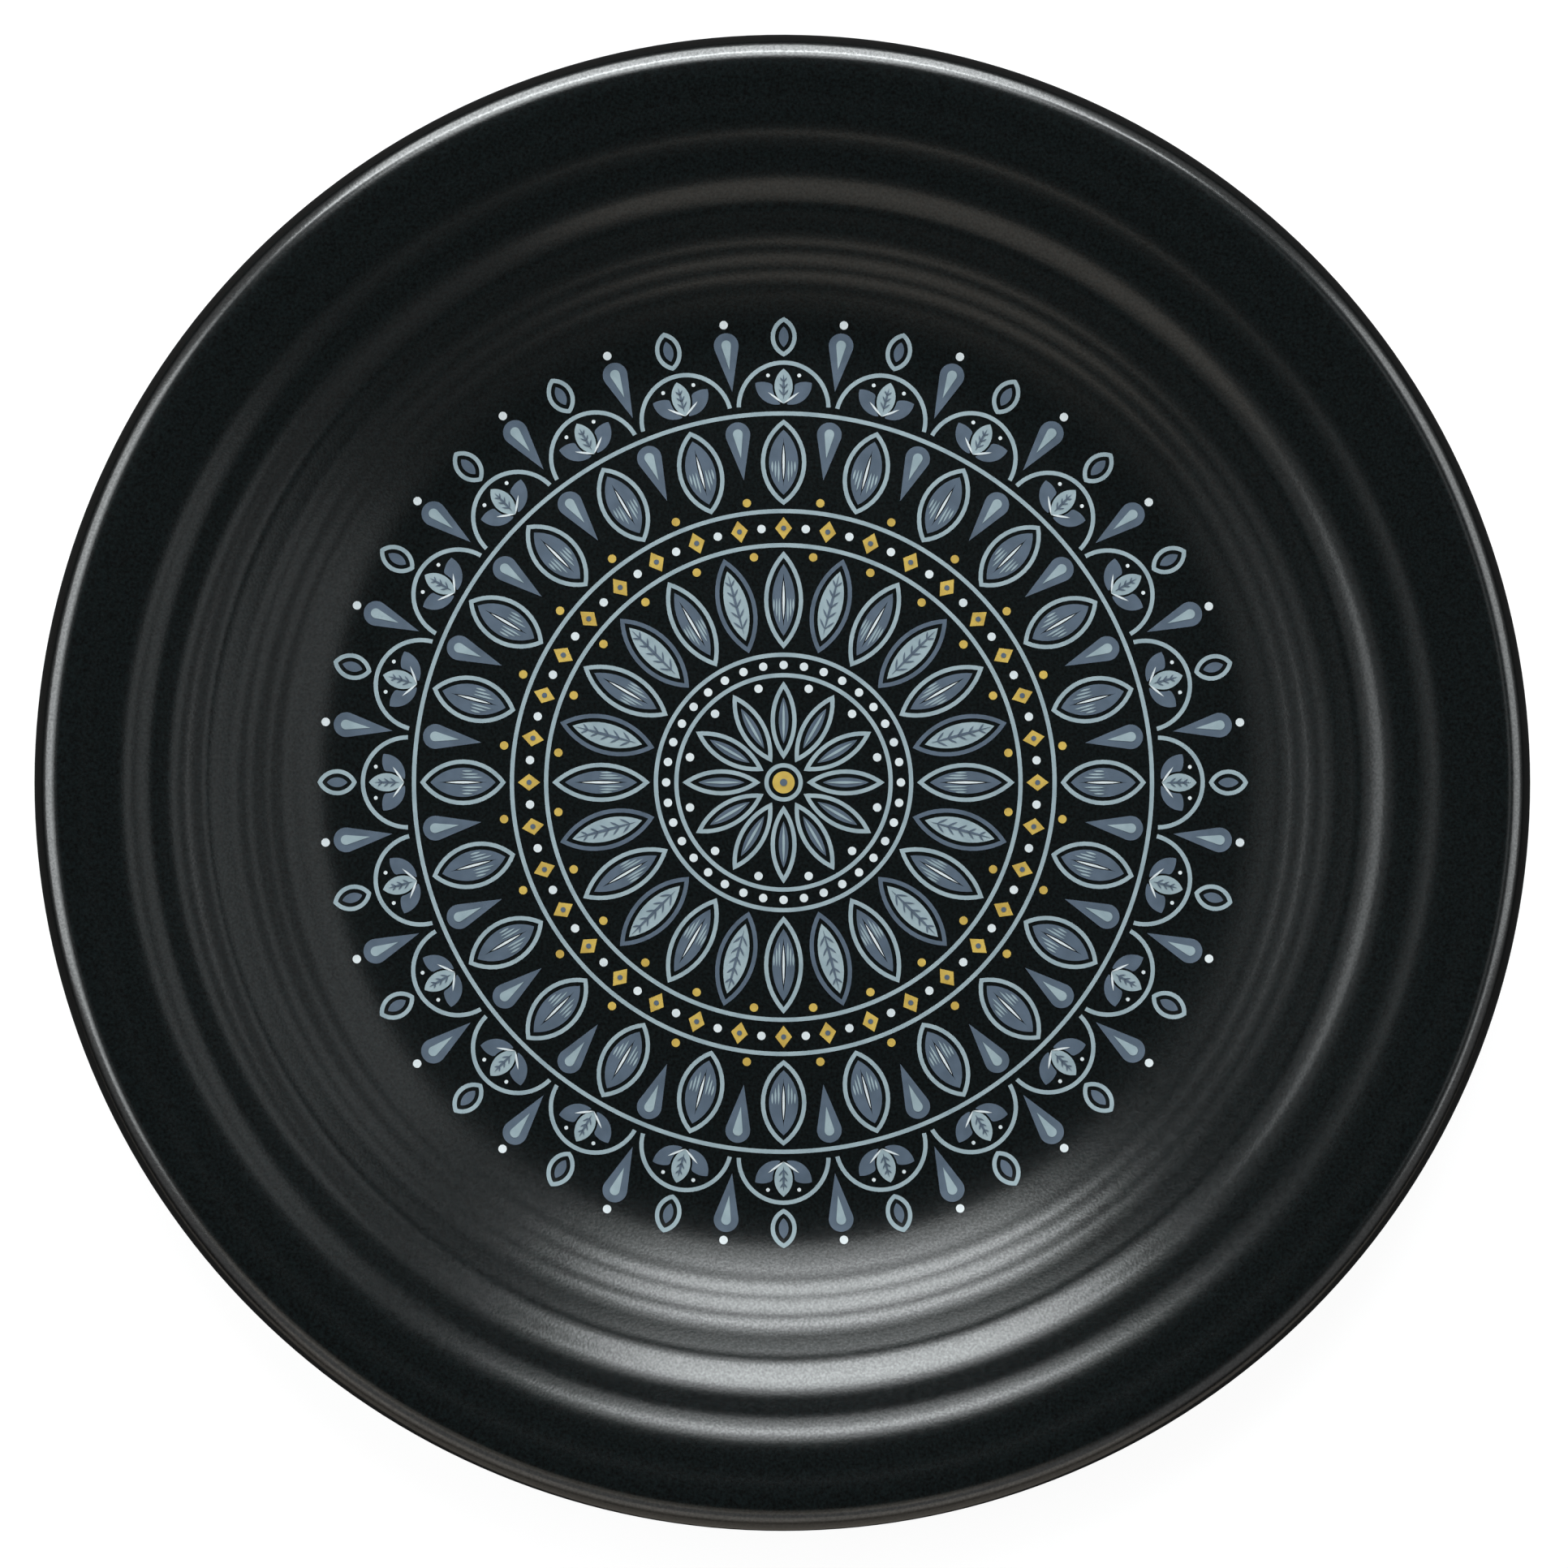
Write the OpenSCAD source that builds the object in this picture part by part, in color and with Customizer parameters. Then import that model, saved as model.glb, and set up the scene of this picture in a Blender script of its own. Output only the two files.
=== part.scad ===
// Decorated luncheon plate: a turned clay body, its fused glaze and a printed rosette of four enamels.
// Millimetres. The plate stands on its foot at z = 0, centred on the Z axis.

/* [Plate] */
// Radius of the level floor
floor_r = 63.2; // [60:0.1:68]
// Height of the glazed floor above the table
floor_z = 9; // [8.4:0.1:11]
// Thickness of the floor, glaze on both sides included
floor_t = 5; // [4.4:0.1:5.6]
// Thickness of the fused glaze
glaze_t = 0.4; // [0.2:0.05:0.6]

/* [Well] */
// Width of the sweep that rises from the level floor to the first ring
sweep_w = 12.95; // [10:0.05:15]
// Width of the sweep's first, tighter curve
knee_w = 8.7; // [6:0.1:10]
// Slope where that curve ends, in degrees
knee_slope = 13.4; // [11:0.1:15]
// Steepest slope of the sweep, in degrees
sweep_slope = 16; // [15:0.5:19]
// Width of the rounded shoulder that ends the sweep
shoulder_w = 1.3; // [0.8:0.1:2]

/* [Fine rings] */
// Width of each fine ring, from the well outwards
fine_widths = [2.75, 2.9, 3.05, 3.2]; // [2:0.05:4]
// Steepest slope of each fine ring, in degrees
fine_peaks = [19, 19.5, 18.5, 14.5]; // [12:0.1:22]
// Slope in the groove inside each fine ring, in degrees
fine_grooves = [14.5, 15.7, 15.2, 13.2]; // [10:0.1:17]
// Share of each fine ring's width that lies before its steepest slope
fine_crests = [0.6, 0.5, 0.35, 0.7]; // [0.3:0.05:0.7]

/* [Broad rings] */
// Width of one broad ring
broad_w = 8.05; // [7:0.05:9.5]
// Slope in the groove before each broad ring, and where the rim starts, in degrees
broad_grooves = [12, 9.8, 4.5]; // [3:0.1:13]
// Slope that each broad ring bites up to as it leaves its groove, in degrees
broad_bites = [17.5, 13.8]; // [12:0.1:19]
// Steepest slope of each broad ring, in degrees
broad_peaks = [22.5, 18.6]; // [14:0.1:24]
// Slope of the land outside each broad ring's crest, in degrees
broad_lands = [10.4, 7]; // [5:0.1:12]
// Width of a broad ring's bite
bite_w = 1; // [0.6:0.1:1.4]
// Width of a broad ring's hollow, from the bite up to its steepest slope
hollow_w = 2.05; // [1.6:0.05:2.6]
// Width of a broad ring's crest, down to the land
crest_w = 3.2; // [2.4:0.1:3.6]

/* [Rim and lip] */
// Width of the plain rim inside the lip
rim_w = 6.05; // [5:0.05:9]
// Steepest slope of the plain rim, in degrees
rim_slope = 10; // [5:0.5:12]
// Share of the rim's width that lies before its steepest slope
rim_crest = 0.4; // [0.3:0.05:0.6]
// Radius of the lip's upper edge
lip_r = 4.1; // [3:0.1:5]
// Radius of the lip's lower edge
lip_under_r = 2; // [1.8:0.1:3]
// Slope of the underside where it meets the lip, in degrees
lip_slope = 6; // [3:0.5:10]

/* [Foot] */
// How far the foot's outer wall stands outside the level floor
foot_out = 3.8; // [1:0.1:6]
// Width of the foot ring, glaze on both sides included
foot_w = 4.6; // [3.8:0.1:6]
// Slope of the underside where it meets the foot, in degrees
foot_slope = 15; // [10:0.5:20]
// Radius of the fillets where the foot meets the underside
foot_fillet = 1.6; // [1:0.1:2]
// Radius of the foot's bare lower edges
foot_edge_r = 0.7; // [0.4:0.1:1]
// Height of the band above the table that is wiped clean of glaze
wiped_h = 1.2; // [1.1:0.1:1.6]

/* [Print] */
// Thickness of the enamels on the glaze
enamel_t = 0.08; // [0.06:0.01:0.15]
// Width of the drawn lines
line_w = 0.65; // [0.45:0.05:0.7]
// Bare glaze left between neighbouring shapes
gap = 0.6; // [0.45:0.05:0.7]
// Radius of the beads
bead_r = 0.65; // [0.5:0.05:0.8]
// Width of the bare slit in a large petal
slit_w = 0.7; // [0.5:0.1:1]
// Length of the slit, as a share of its petal
slit_l = 0.5; // [0.3:0.05:0.6]
// How far the print reaches beyond the level floor
print_over = 8.3; // [6:0.1:10]
// Radius of the gold centre
centre_r = 1.7; // [1.2:0.1:2.2]

/* [Print, inner rings] */
// Petals of the daisy
daisy_n = 12; // [10:1:14]
// Length of a daisy petal
daisy_l = 12; // [10:0.5:14]
// Width of a daisy petal
daisy_w = 4; // [3.2:0.1:4.2]
// Beads in the bead row
beads_n = 36; // [24:1:40]
// Petals of the lotus ring, every second one dark
lotus_n = 24; // [20:2:26]
// Length of a lotus petal
lotus_l = 15; // [13:0.5:17]
// Width of a lotus petal
lotus_w = 6; // [4.8:0.1:6.2]
// Lozenges in the braid, with a bead between each two
lozenge_n = 36; // [24:1:40]
// Length of a lozenge
lozenge_l = 3.4; // [2.6:0.1:4]
// Width of a lozenge
lozenge_w = 2.6; // [2:0.1:3]

/* [Print, outer rings] */
// Repeats of the outer rings
outer_n = 24; // [22:1:26]
// Width of a spear
spear_w = 7; // [5:0.1:7.4]
// Length of a drop between two spears
drop_l = 9; // [7:0.5:10]
// Width of a drop
drop_w = 3.8; // [2.4:0.1:4]
// Width of the buds and sepals in the scallops
bud_w = 2.8; // [2:0.1:3]
// How far the sepals lean out from their bud, in degrees
sepal_turn = 54; // [46:1:58]
// Length of a fringe petal
fringe_l = 6; // [5:0.5:8]
// Width of a fringe petal
fringe_w = 4; // [3:0.1:4.4]

/* [Hidden] */
$fn = 96;

function last(v) = v[len(v) - 1];
function reversed(v) = [for (i = [len(v) - 1:-1:0]) v[i]];

// --- Section: stations [radius, height, heading] that follow the glazed surface out over the face,
// round the lip and back in underneath; the heading is the way the outline runs, in degrees ---

// Arc of signed radius r from a station to a new heading; r is negative where it turns clockwise
function turn(from, r, heading, steps) =
    [for (i = [1:steps]) let (a = from[2], b = a + (heading - a) * i / steps)
        [from[0] + r * (sin(b) - sin(a)), from[1] + r * (cos(a) - cos(b)), b]];

// Run of tangent arcs, each [width, heading at its end, steps]
function run(from, arcs, i = 0) = i == len(arcs) ? [] :
    let (a = arcs[i], r = a[0] / (sin(a[1]) - sin(from[2])), arc = turn(from, r, a[1], a[2]))
    concat(arc, run(last(arc), arcs, i + 1));

grooves = concat(fine_grooves, broad_grooves);

// A ring of each kind leaves its groove and ends in the next one
function fine_ring(i) =
    [[fine_widths[i] * fine_crests[i], fine_peaks[i], 3],
     [fine_widths[i] * (1 - fine_crests[i]), grooves[i + 1], 3]];

function broad_ring(i) =
    [[bite_w, broad_bites[i], 2],
     [hollow_w, broad_peaks[i], 3],
     [crest_w, broad_lands[i], 4],
     [broad_w - bite_w - hollow_w - crest_w, broad_grooves[i + 1], 2]];

floor_edge = [floor_r, floor_z, 0];

upper_face = run(floor_edge, concat(
    [[knee_w, knee_slope, 4],
     [sweep_w - knee_w - shoulder_w, sweep_slope, 2],
     [shoulder_w, grooves[0], 2]],
    [for (i = [0:len(fine_peaks) - 1]) each fine_ring(i)],
    [for (i = [0:len(broad_peaks) - 1]) each broad_ring(i)],
    [[rim_w * rim_crest, rim_slope, 3], [rim_w * (1 - rim_crest), 0, 4]]));
face = concat([[0, floor_z, 0], floor_edge], upper_face);

lip = let (over = turn(last(face), -lip_r, -90, 9))
    concat(over, turn(last(over), -lip_under_r, lip_slope - 180, 6));

// The underside is a cubic from the lip to the fillet of the foot
under_z = floor_z - floor_t;
foot_r = floor_r + foot_out;
fillet_start = [foot_r + foot_fillet * (1 - sin(foot_slope)), under_z, foot_slope - 180];
function cubic(u, z0, z1, d0, d1) =
    z0 + u * d0 + u * u * (3 * (z1 - z0) - 2 * d0 - d1) + u * u * u * (2 * (z0 - z1) + d0 + d1);
function cubic_rise(u, z0, z1, d0, d1) =
    d0 + 2 * u * (3 * (z1 - z0) - 2 * d0 - d1) + 3 * u * u * (2 * (z0 - z1) + d0 + d1);
underside = let (a = last(lip), b = fillet_start, w = a[0] - b[0], steps = 8)
    [for (i = [1:steps]) let (u = i / steps, d0 = -w * tan(lip_slope), d1 = -w * tan(foot_slope))
        [a[0] - u * w, cubic(u, a[1], b[1], d0, d1), -180 - atan(cubic_rise(u, a[1], b[1], d0, d1) / w)]];

foot_outside = concat(turn(fillet_start, foot_fillet, -90, 4), [[foot_r, wiped_h, -90]]);
coated = concat(face, lip, underside, foot_outside);

// Inside of the foot and the ceiling of the recess, glazed too
foot_in_r = foot_r - foot_w;
recess_wall = [foot_in_r, under_z - foot_fillet, -270];
recess = concat([[foot_in_r, wiped_h, -270], recess_wall],
    turn(recess_wall, foot_fillet, -180, 4), [[0, under_z, -180]]);

// Bare clay of the foot, between the two glazes
bare_foot = let (start = [foot_r - glaze_t, foot_edge_r, -90],
                 inner = [foot_in_r + glaze_t + foot_edge_r, 0, -180])
    concat([start], turn(start, -foot_edge_r, -180, 3), [inner], turn(inner, -foot_edge_r, -270, 3));

function points(stations) = [for (s = stations) [max(s[0], 0), s[1]]];
// The clay under a glazed surface
function clay(stations) =
    [for (s = stations) [max(s[0] + glaze_t * sin(s[2]), 0), s[1] - glaze_t * cos(s[2])]];

module clay_body() {
    color("#cfc8ba") rotate_extrude()
        polygon(concat(clay(coated), points(bare_foot), clay(recess)));
}

module glaze(stations) {
    color("#14191b") rotate_extrude()
        polygon(concat(points(stations), reversed(clay(stations))));
}
module face_glaze() glaze(coated);
module recess_glaze() glaze(recess);

// --- Printed rosette: every motif starts at the origin and points along +Y ---

module around(n, r, shift = 0)
    for (i = [0:n - 1]) rotate((i + shift) * 360 / n) translate([0, r]) children();

module circle_line(r) difference() { circle(r + line_w); circle(r); }

// Pointed petal between two arcs, drawn inset inside its own outline
module petal(l, w, inset = 0) {
    r = (l * l + w * w) / (4 * w);
    intersection_for (side = [-1, 1]) translate([side * (r - w / 2), l / 2]) circle(r - inset);
}
module petal_line(l, w) difference() { petal(l, w); petal(l, w, line_w); }
module petal_core(l, w) petal(l, w, line_w + gap);
// Core with a bare slit down its middle
module petal_split(l, w) difference() {
    petal_core(l, w);
    translate([0, (l - l * slit_l) / 2]) petal(l * slit_l, slit_w);
}

// Drop with its point at the origin and its round end outwards
module drop(l, w) {
    r = w / 2;
    centre = l - r;
    side = asin(r / centre);
    cheek = [centre * cos(side) * sin(side), centre * cos(side) ^ 2];
    translate([0, centre]) circle(r);
    polygon([[0, 0], cheek, [0, centre], [-cheek[0], cheek[1]]]);
}

// Radii of the rings, from the centre outwards
eye_r = centre_r + gap;
daisy_r = eye_r + line_w + gap;
inner_line_r = daisy_r + daisy_l + gap;
beads_r = inner_line_r + line_w + gap + bead_r;
bead_line_r = beads_r + bead_r + gap;
lotus_r = bead_line_r + line_w + gap;
braid_line_r = lotus_r + lotus_l + gap;
lozenge_r = braid_line_r + line_w + gap;
outer_line_r = lozenge_r + lozenge_l + gap;
spear_r = outer_line_r + line_w + gap;
// The fringe ends at print_r, and the scallops are half circles whose feet stand a gap apart on scallop_r
print_r = floor_r + print_over;
fringe_r = print_r - fringe_l;
scallop_r = (fringe_r - gap / 2) / (1 + sin(180 / outer_n));
scallop_w = 2 * scallop_r * sin(180 / outer_n) - gap;
scallop_line_r = scallop_r - gap - line_w;
// The spears fill the room that is left
spear_l = scallop_line_r - gap - spear_r;
// Drops hang between the spears, and tassels between the scallops
drop_r = spear_r + spear_l - drop_l;
tassel_r = scallop_r + scallop_w / 5;
tassel_l = print_r - bead_r * 2 - gap - tassel_r;

module lozenge() polygon([[0, 0], [lozenge_w / 2, lozenge_l / 2],
                          [0, lozenge_l], [-lozenge_w / 2, lozenge_l / 2]]);

module scallop() difference() {
    circle(scallop_w / 2);
    circle(scallop_w / 2 - line_w);
    translate([-scallop_w, -2 * scallop_w]) square(2 * scallop_w);
}
// A bud between two sepals fills each scallop
bud_l = scallop_w / 2 - line_w - 2 * gap;
module bud(inset = 0) translate([0, gap]) petal(bud_l, bud_w, inset);
module sepals() difference() {
    for (side = [-1, 1]) translate([0, gap]) rotate(side * sepal_turn) petal(bud_l, bud_w);
    bud(-gap / 2);
}

// --- Enamels, each a thin layer that lies on the glaze ---

// A pattern on the level floor
module on_floor() translate([0, 0, floor_z]) linear_extrude(enamel_t) children();

// A pattern that follows the glaze up the sweep; seam is the share of a repeat by which the skin is turned,
// so that its seam runs between the motifs
printed = [for (i = [0:len(face) - 1]) if (i == 0 || face[i - 1][0] < print_r) face[i]];
module on_sweep(seam = 0) intersection() {
    translate([0, 0, floor_z - 1]) linear_extrude(last(printed)[1] - floor_z + 2) children();
    rotate(seam * 360 / outer_n) rotate_extrude()
        polygon(concat(points(printed), [for (s = reversed(printed)) [s[0], s[1] + enamel_t]]));
}

module pale_enamel() {
    color("#a9bbc2") {
        on_floor() {
            for (r = [eye_r, inner_line_r, bead_line_r, braid_line_r, outer_line_r, scallop_line_r])
                circle_line(r);
            around(daisy_n, daisy_r) petal_line(daisy_l, daisy_w);
            around(lotus_n / 2, lotus_r) petal_line(lotus_l, lotus_w);
            around(lotus_n / 2, lotus_r, 0.5) petal_core(lotus_l, lotus_w);
            around(outer_n, spear_r) petal_line(spear_l, spear_w);
        }
        on_sweep(0.5) {
            around(outer_n, scallop_r) {
                scallop();
                bud();
            }
            around(outer_n, fringe_r) petal_line(fringe_l, fringe_w);
        }
    }
}

module slate_enamel() {
    color("#5c6c7c") {
        on_floor() {
            around(daisy_n, daisy_r) petal_core(daisy_l, daisy_w);
            around(lotus_n / 2, lotus_r) petal_split(lotus_l, lotus_w);
            around(lotus_n / 2, lotus_r, 0.5) petal_line(lotus_l, lotus_w);
            around(outer_n, spear_r) petal_split(spear_l, spear_w);
            around(outer_n, drop_r, 0.5) drop(drop_l, drop_w);
        }
        on_sweep() {
            around(outer_n, scallop_r) sepals();
            around(outer_n, tassel_r, 0.5) drop(tassel_l, drop_w);
        }
    }
}

module white_enamel() {
    color("#ebf0f2") {
        on_floor() {
            around(beads_n, beads_r) circle(bead_r);
            around(lozenge_n, lozenge_r + lozenge_l / 2, 0.5) circle(bead_r);
            around(daisy_n, inner_line_r - gap - bead_r, 0.5) circle(bead_r);
        }
        on_sweep() around(outer_n, print_r - bead_r, 0.5) circle(bead_r);
    }
}

module gold_enamel() {
    color("#cdaf55") on_floor() {
        circle(centre_r);
        around(lozenge_n, lozenge_r) lozenge();
        around(lotus_n, braid_line_r - gap - bead_r, 0.5) circle(bead_r);
        around(outer_n, spear_r + bead_r, 0.5) circle(bead_r);
    }
}

clay_body();
face_glaze();
recess_glaze();
pale_enamel();
slate_enamel();
white_enamel();
gold_enamel();
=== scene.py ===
"""Visual model of the decorated luncheon plate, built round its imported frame.

The plate is turned: one section of tangent arcs goes round the Z axis and makes the glaze of the face, the
glaze of the recess under the foot and the clay between them. The printed rosette is a set of small motifs
that repeat round the plate and are laid on the finished glaze.
"""

from __future__ import annotations

import logging
import math
from collections.abc import Callable, Iterable, Sequence
from dataclasses import dataclass, field
from enum import Enum
from typing import Any

import bmesh
import bpy
from mathutils import Matrix, Vector
from mathutils.bvhtree import BVHTree


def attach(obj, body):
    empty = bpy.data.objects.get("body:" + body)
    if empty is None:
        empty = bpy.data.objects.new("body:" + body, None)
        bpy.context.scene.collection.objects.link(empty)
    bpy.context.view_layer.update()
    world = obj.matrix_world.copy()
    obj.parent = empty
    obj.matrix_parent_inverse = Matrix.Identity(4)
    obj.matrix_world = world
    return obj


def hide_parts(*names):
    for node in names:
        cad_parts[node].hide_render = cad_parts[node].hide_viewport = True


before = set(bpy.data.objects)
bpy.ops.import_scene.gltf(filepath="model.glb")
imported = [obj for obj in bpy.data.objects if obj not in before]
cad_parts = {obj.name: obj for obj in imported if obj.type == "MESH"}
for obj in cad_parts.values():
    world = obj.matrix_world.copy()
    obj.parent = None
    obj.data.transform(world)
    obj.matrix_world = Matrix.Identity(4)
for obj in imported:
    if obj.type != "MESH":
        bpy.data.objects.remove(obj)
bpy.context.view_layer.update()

log = logging.getLogger("plate")

MM = 0.001  # metres in a millimetre
BODY = "root"  # the plate has no joints, so every piece rides on its one body
WELD = 1e-6  # metres within which vertices are merged
SLIVER = 1e-7  # metres under which an edge has collapsed
NOISE_SPAN = (0.3, 0.7)  # Blender's noise seldom goes past these values
HALVINGS = 24  # of a span, to find where a test changes its answer
BETWEEN = 0.5  # shift of a ring whose motifs stand between those of its neighbour
PHOTO_SIDE = 1568  # width and height of the frame of the image points

Inputs = dict[str | int, Any]  # what feeds a node, by the input's name or number
Point = tuple[float, float]
Station = tuple[float, float, float]  # radius and height in mm, and heading in degrees
Band = tuple[list[Point], list[Point]]  # the two edges of a flat shape, point for point


# --- Helpers for node trees, colours and meshes ---


def add(tree: bpy.types.NodeTree, kind: str, inputs: Inputs | None = None, **settings: Any) -> Any:
    """Adds one node with its settings and links.

    Args:
        tree: The node tree.
        kind: The node's type.
        inputs: For each input, by name or number, a value, a socket or a node whose first output is used.
        settings: Properties of the node.

    Returns:
        The node.
    """
    node = tree.nodes.new(kind)
    for name, value in settings.items():
        setattr(node, name, value)
    for key, value in (inputs or {}).items():
        if isinstance(value, bpy.types.Node):
            value = next(out for out in value.outputs if out.enabled)
        if isinstance(value, bpy.types.NodeSocket):
            tree.links.new(value, node.inputs[key])
        else:
            node.inputs[key].default_value = value
    return node


def linear(code: str) -> tuple[float, float, float, float]:
    """Turns an sRGB hex colour such as #a9bbc2 into linear RGBA."""
    parts = [int(code[i : i + 2], 16) / 255 for i in (1, 3, 5)]
    return (*(p / 12.92 if p <= 0.04045 else ((p + 0.055) / 1.055) ** 2.4 for p in parts), 1.0)


def per_metre(size_mm: float) -> float:
    """Gives the scale at which a texture's cells measure size_mm on Object coordinates."""
    return 1 / (size_mm * MM)


def put_in_scene(name: str, mesh: bpy.types.Mesh) -> bpy.types.Object:
    """Makes an object of a mesh and links it to the scene.

    Args:
        name: The object's name.
        mesh: The mesh.

    Returns:
        The object.
    """
    piece = bpy.data.objects.new(name, mesh)
    bpy.context.scene.collection.objects.link(piece)
    return piece


def cleaned(mesh: bpy.types.Mesh, closed: bool = True) -> None:
    """Merges doubled vertices, drops collapsed faces and points the faces outwards.

    Args:
        mesh: The mesh, changed in place.
        closed: Whether it bounds a solid, so that outwards has a meaning.
    """
    work = bmesh.new()
    work.from_mesh(mesh)
    bmesh.ops.remove_doubles(work, verts=work.verts, dist=WELD)
    bmesh.ops.dissolve_degenerate(work, dist=SLIVER, edges=work.edges)
    if closed:
        bmesh.ops.recalc_face_normals(work, faces=work.faces)
    work.to_mesh(mesh)
    work.free()
    mesh.update()


def joined(meshes: Sequence[bpy.types.Mesh]) -> bpy.types.Mesh:
    """Joins meshes into a new one and removes them.

    Args:
        meshes: The meshes.

    Returns:
        The new mesh.
    """
    work = bmesh.new()
    for mesh in meshes:
        work.from_mesh(mesh)
        bpy.data.meshes.remove(mesh)
    whole = bpy.data.meshes.new("joined")
    work.to_mesh(whole)
    work.free()
    return whole


def finished(name: str, mesh: bpy.types.Mesh, sharp_from: float) -> bpy.types.Object:
    """Makes a piece of a closed mesh.

    Args:
        name: The piece's name.
        mesh: Its mesh, which is cleaned.
        sharp_from: The angle in degrees from which an edge shows as sharp.

    Returns:
        The piece.
    """
    cleaned(mesh)
    mesh.set_sharp_from_angle(angle=math.radians(sharp_from))
    return put_in_scene(name, mesh)


class Tree:
    """A Geometry Nodes tree with named inputs, and the object that it works on."""

    def __init__(self, name: str, inputs: dict[str, str]) -> None:
        """Starts a tree with a geometry input and output.

        Args:
            name: The tree's name.
            inputs: The socket type of each further input, by name.
        """
        self.group = bpy.data.node_groups.new(name, "GeometryNodeTree")
        face = self.group.interface
        face.new_socket("Geometry", in_out="INPUT", socket_type="NodeSocketGeometry")
        self.keys: dict[str, str] = {}
        for key, kind in inputs.items():
            self.keys[key] = face.new_socket(key, in_out="INPUT", socket_type=kind).identifier
        face.new_socket("Geometry", in_out="OUTPUT", socket_type="NodeSocketGeometry")
        self.given = self.group.nodes.new("NodeGroupInput").outputs

    def add(self, kind: str, inputs: Inputs | None = None, **settings: Any) -> Any:
        """Adds one node to this tree."""
        return add(self.group, kind, inputs, **settings)

    def angle(self, step: Any, steps: Any) -> Any:
        """Gives the angle of a step round the axis, of which so many make a full turn."""
        share = self.add("ShaderNodeMath", {0: step, 1: steps}, operation="DIVIDE")
        return self.add("ShaderNodeMath", {0: share, 1: 2 * math.pi}, operation="MULTIPLY")

    def end(self, geometry: Any) -> None:
        """Ends the tree in Realize Instances and Set Material.

        Args:
            geometry: The output that carries the geometry.
        """
        real = self.add("GeometryNodeRealizeInstances", {"Geometry": geometry})
        dressed = self.add("GeometryNodeSetMaterial", {"Geometry": real, "Material": self.given["Material"]})
        self.add("NodeGroupOutput", {"Geometry": dressed})

    def applied(self, start: bpy.types.Mesh, values: dict[str, Any]) -> bpy.types.Mesh:
        """Runs the tree on a mesh.

        Args:
            start: The mesh that goes in.
            values: The value of each named input.

        Returns:
            The plain mesh that comes out.
        """
        carrier = put_in_scene("carrier", start)
        modifier = carrier.modifiers.new(self.group.name, "NODES")
        modifier.node_group = self.group
        for key, value in values.items():
            modifier[self.keys[key]] = value
        depsgraph = bpy.context.evaluated_depsgraph_get()
        result = bpy.data.meshes.new_from_object(carrier.evaluated_get(depsgraph))
        carrier.modifiers.clear()
        bpy.data.objects.remove(carrier)
        bpy.data.meshes.remove(start)
        return result


# --- Finishes ---


@dataclass(frozen=True)
class Grain:
    """One scale of procedural unevenness in a finish."""

    size: float  # mm across one cell
    low: float  # what the darkest part gives
    high: float  # what the lightest part gives
    detail: float = 2.0


class Finish:
    """A Principled material under construction, with Object coordinates in metres."""

    def __init__(self, name: str) -> None:
        """Starts the material with its shader and coordinates.

        Args:
            name: The material's name.
        """
        self.material = bpy.data.materials.new(name)
        self.material.use_nodes = True
        self.tree = self.material.node_tree
        self.tree.nodes.clear()
        self.shader = self.add("ShaderNodeBsdfPrincipled")
        self.add("ShaderNodeOutputMaterial", {"Surface": self.shader})
        self.place = self.add("ShaderNodeTexCoord").outputs["Object"]

    def add(self, kind: str, inputs: Inputs | None = None, **settings: Any) -> Any:
        """Adds one node to this material."""
        return add(self.tree, kind, inputs, **settings)

    def feed(self, socket: str, source: Any) -> None:
        """Links a node's output to an input of the shader."""
        self.tree.links.new(source, self.shader.inputs[socket])

    def noise(self, grain: Grain) -> Any:
        """Makes a noise of the grain's size.

        Args:
            grain: Its size and the two values that it is spread between.

        Returns:
            The output that carries it.
        """
        cells = self.add(
            "ShaderNodeTexNoise",
            {"Vector": self.place, "Scale": per_metre(grain.size), "Detail": grain.detail},
        )
        low, high = NOISE_SPAN
        spread = {"From Min": low, "From Max": high, "To Min": grain.low, "To Max": grain.high}
        return self.add("ShaderNodeMapRange", {"Value": cells.outputs[0], **spread}).outputs[0]

    def colour(self, base: str, layers: Sequence[tuple[Any, str]]) -> None:
        """Colours the shader in layers.

        Args:
            base: The lowest colour, as sRGB hex.
            layers: For each layer above it, the output that gives its share, and its colour.
        """
        seen: Any = linear(base)
        for share, over in layers:
            inputs = {0: share, 6: seen, 7: linear(over)}
            seen = self.add("ShaderNodeMix", inputs, data_type="RGBA").outputs[2]
        self.feed("Base Color", seen)

    def relief(self, grains: Sequence[Grain]) -> None:
        """Adds bumps.

        Args:
            grains: The grain of each, whose high value is the bump's height in mm.
        """
        normal = None
        for grain in grains:
            inputs = {"Height": self.noise(grain), "Distance": MM, "Strength": 1.0}
            if normal is not None:
                inputs["Normal"] = normal
            normal = self.add("ShaderNodeBump", inputs).outputs[0]
        self.feed("Normal", normal)

    def radius(self) -> Any:
        """Gives the distance from the Z axis, in metres."""
        flat = self.add("ShaderNodeVectorMath", {0: self.place, 1: (1.0, 1.0, 0.0)}, operation="MULTIPLY")
        return self.add("ShaderNodeVectorMath", {0: flat}, operation="LENGTH").outputs["Value"]


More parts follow.
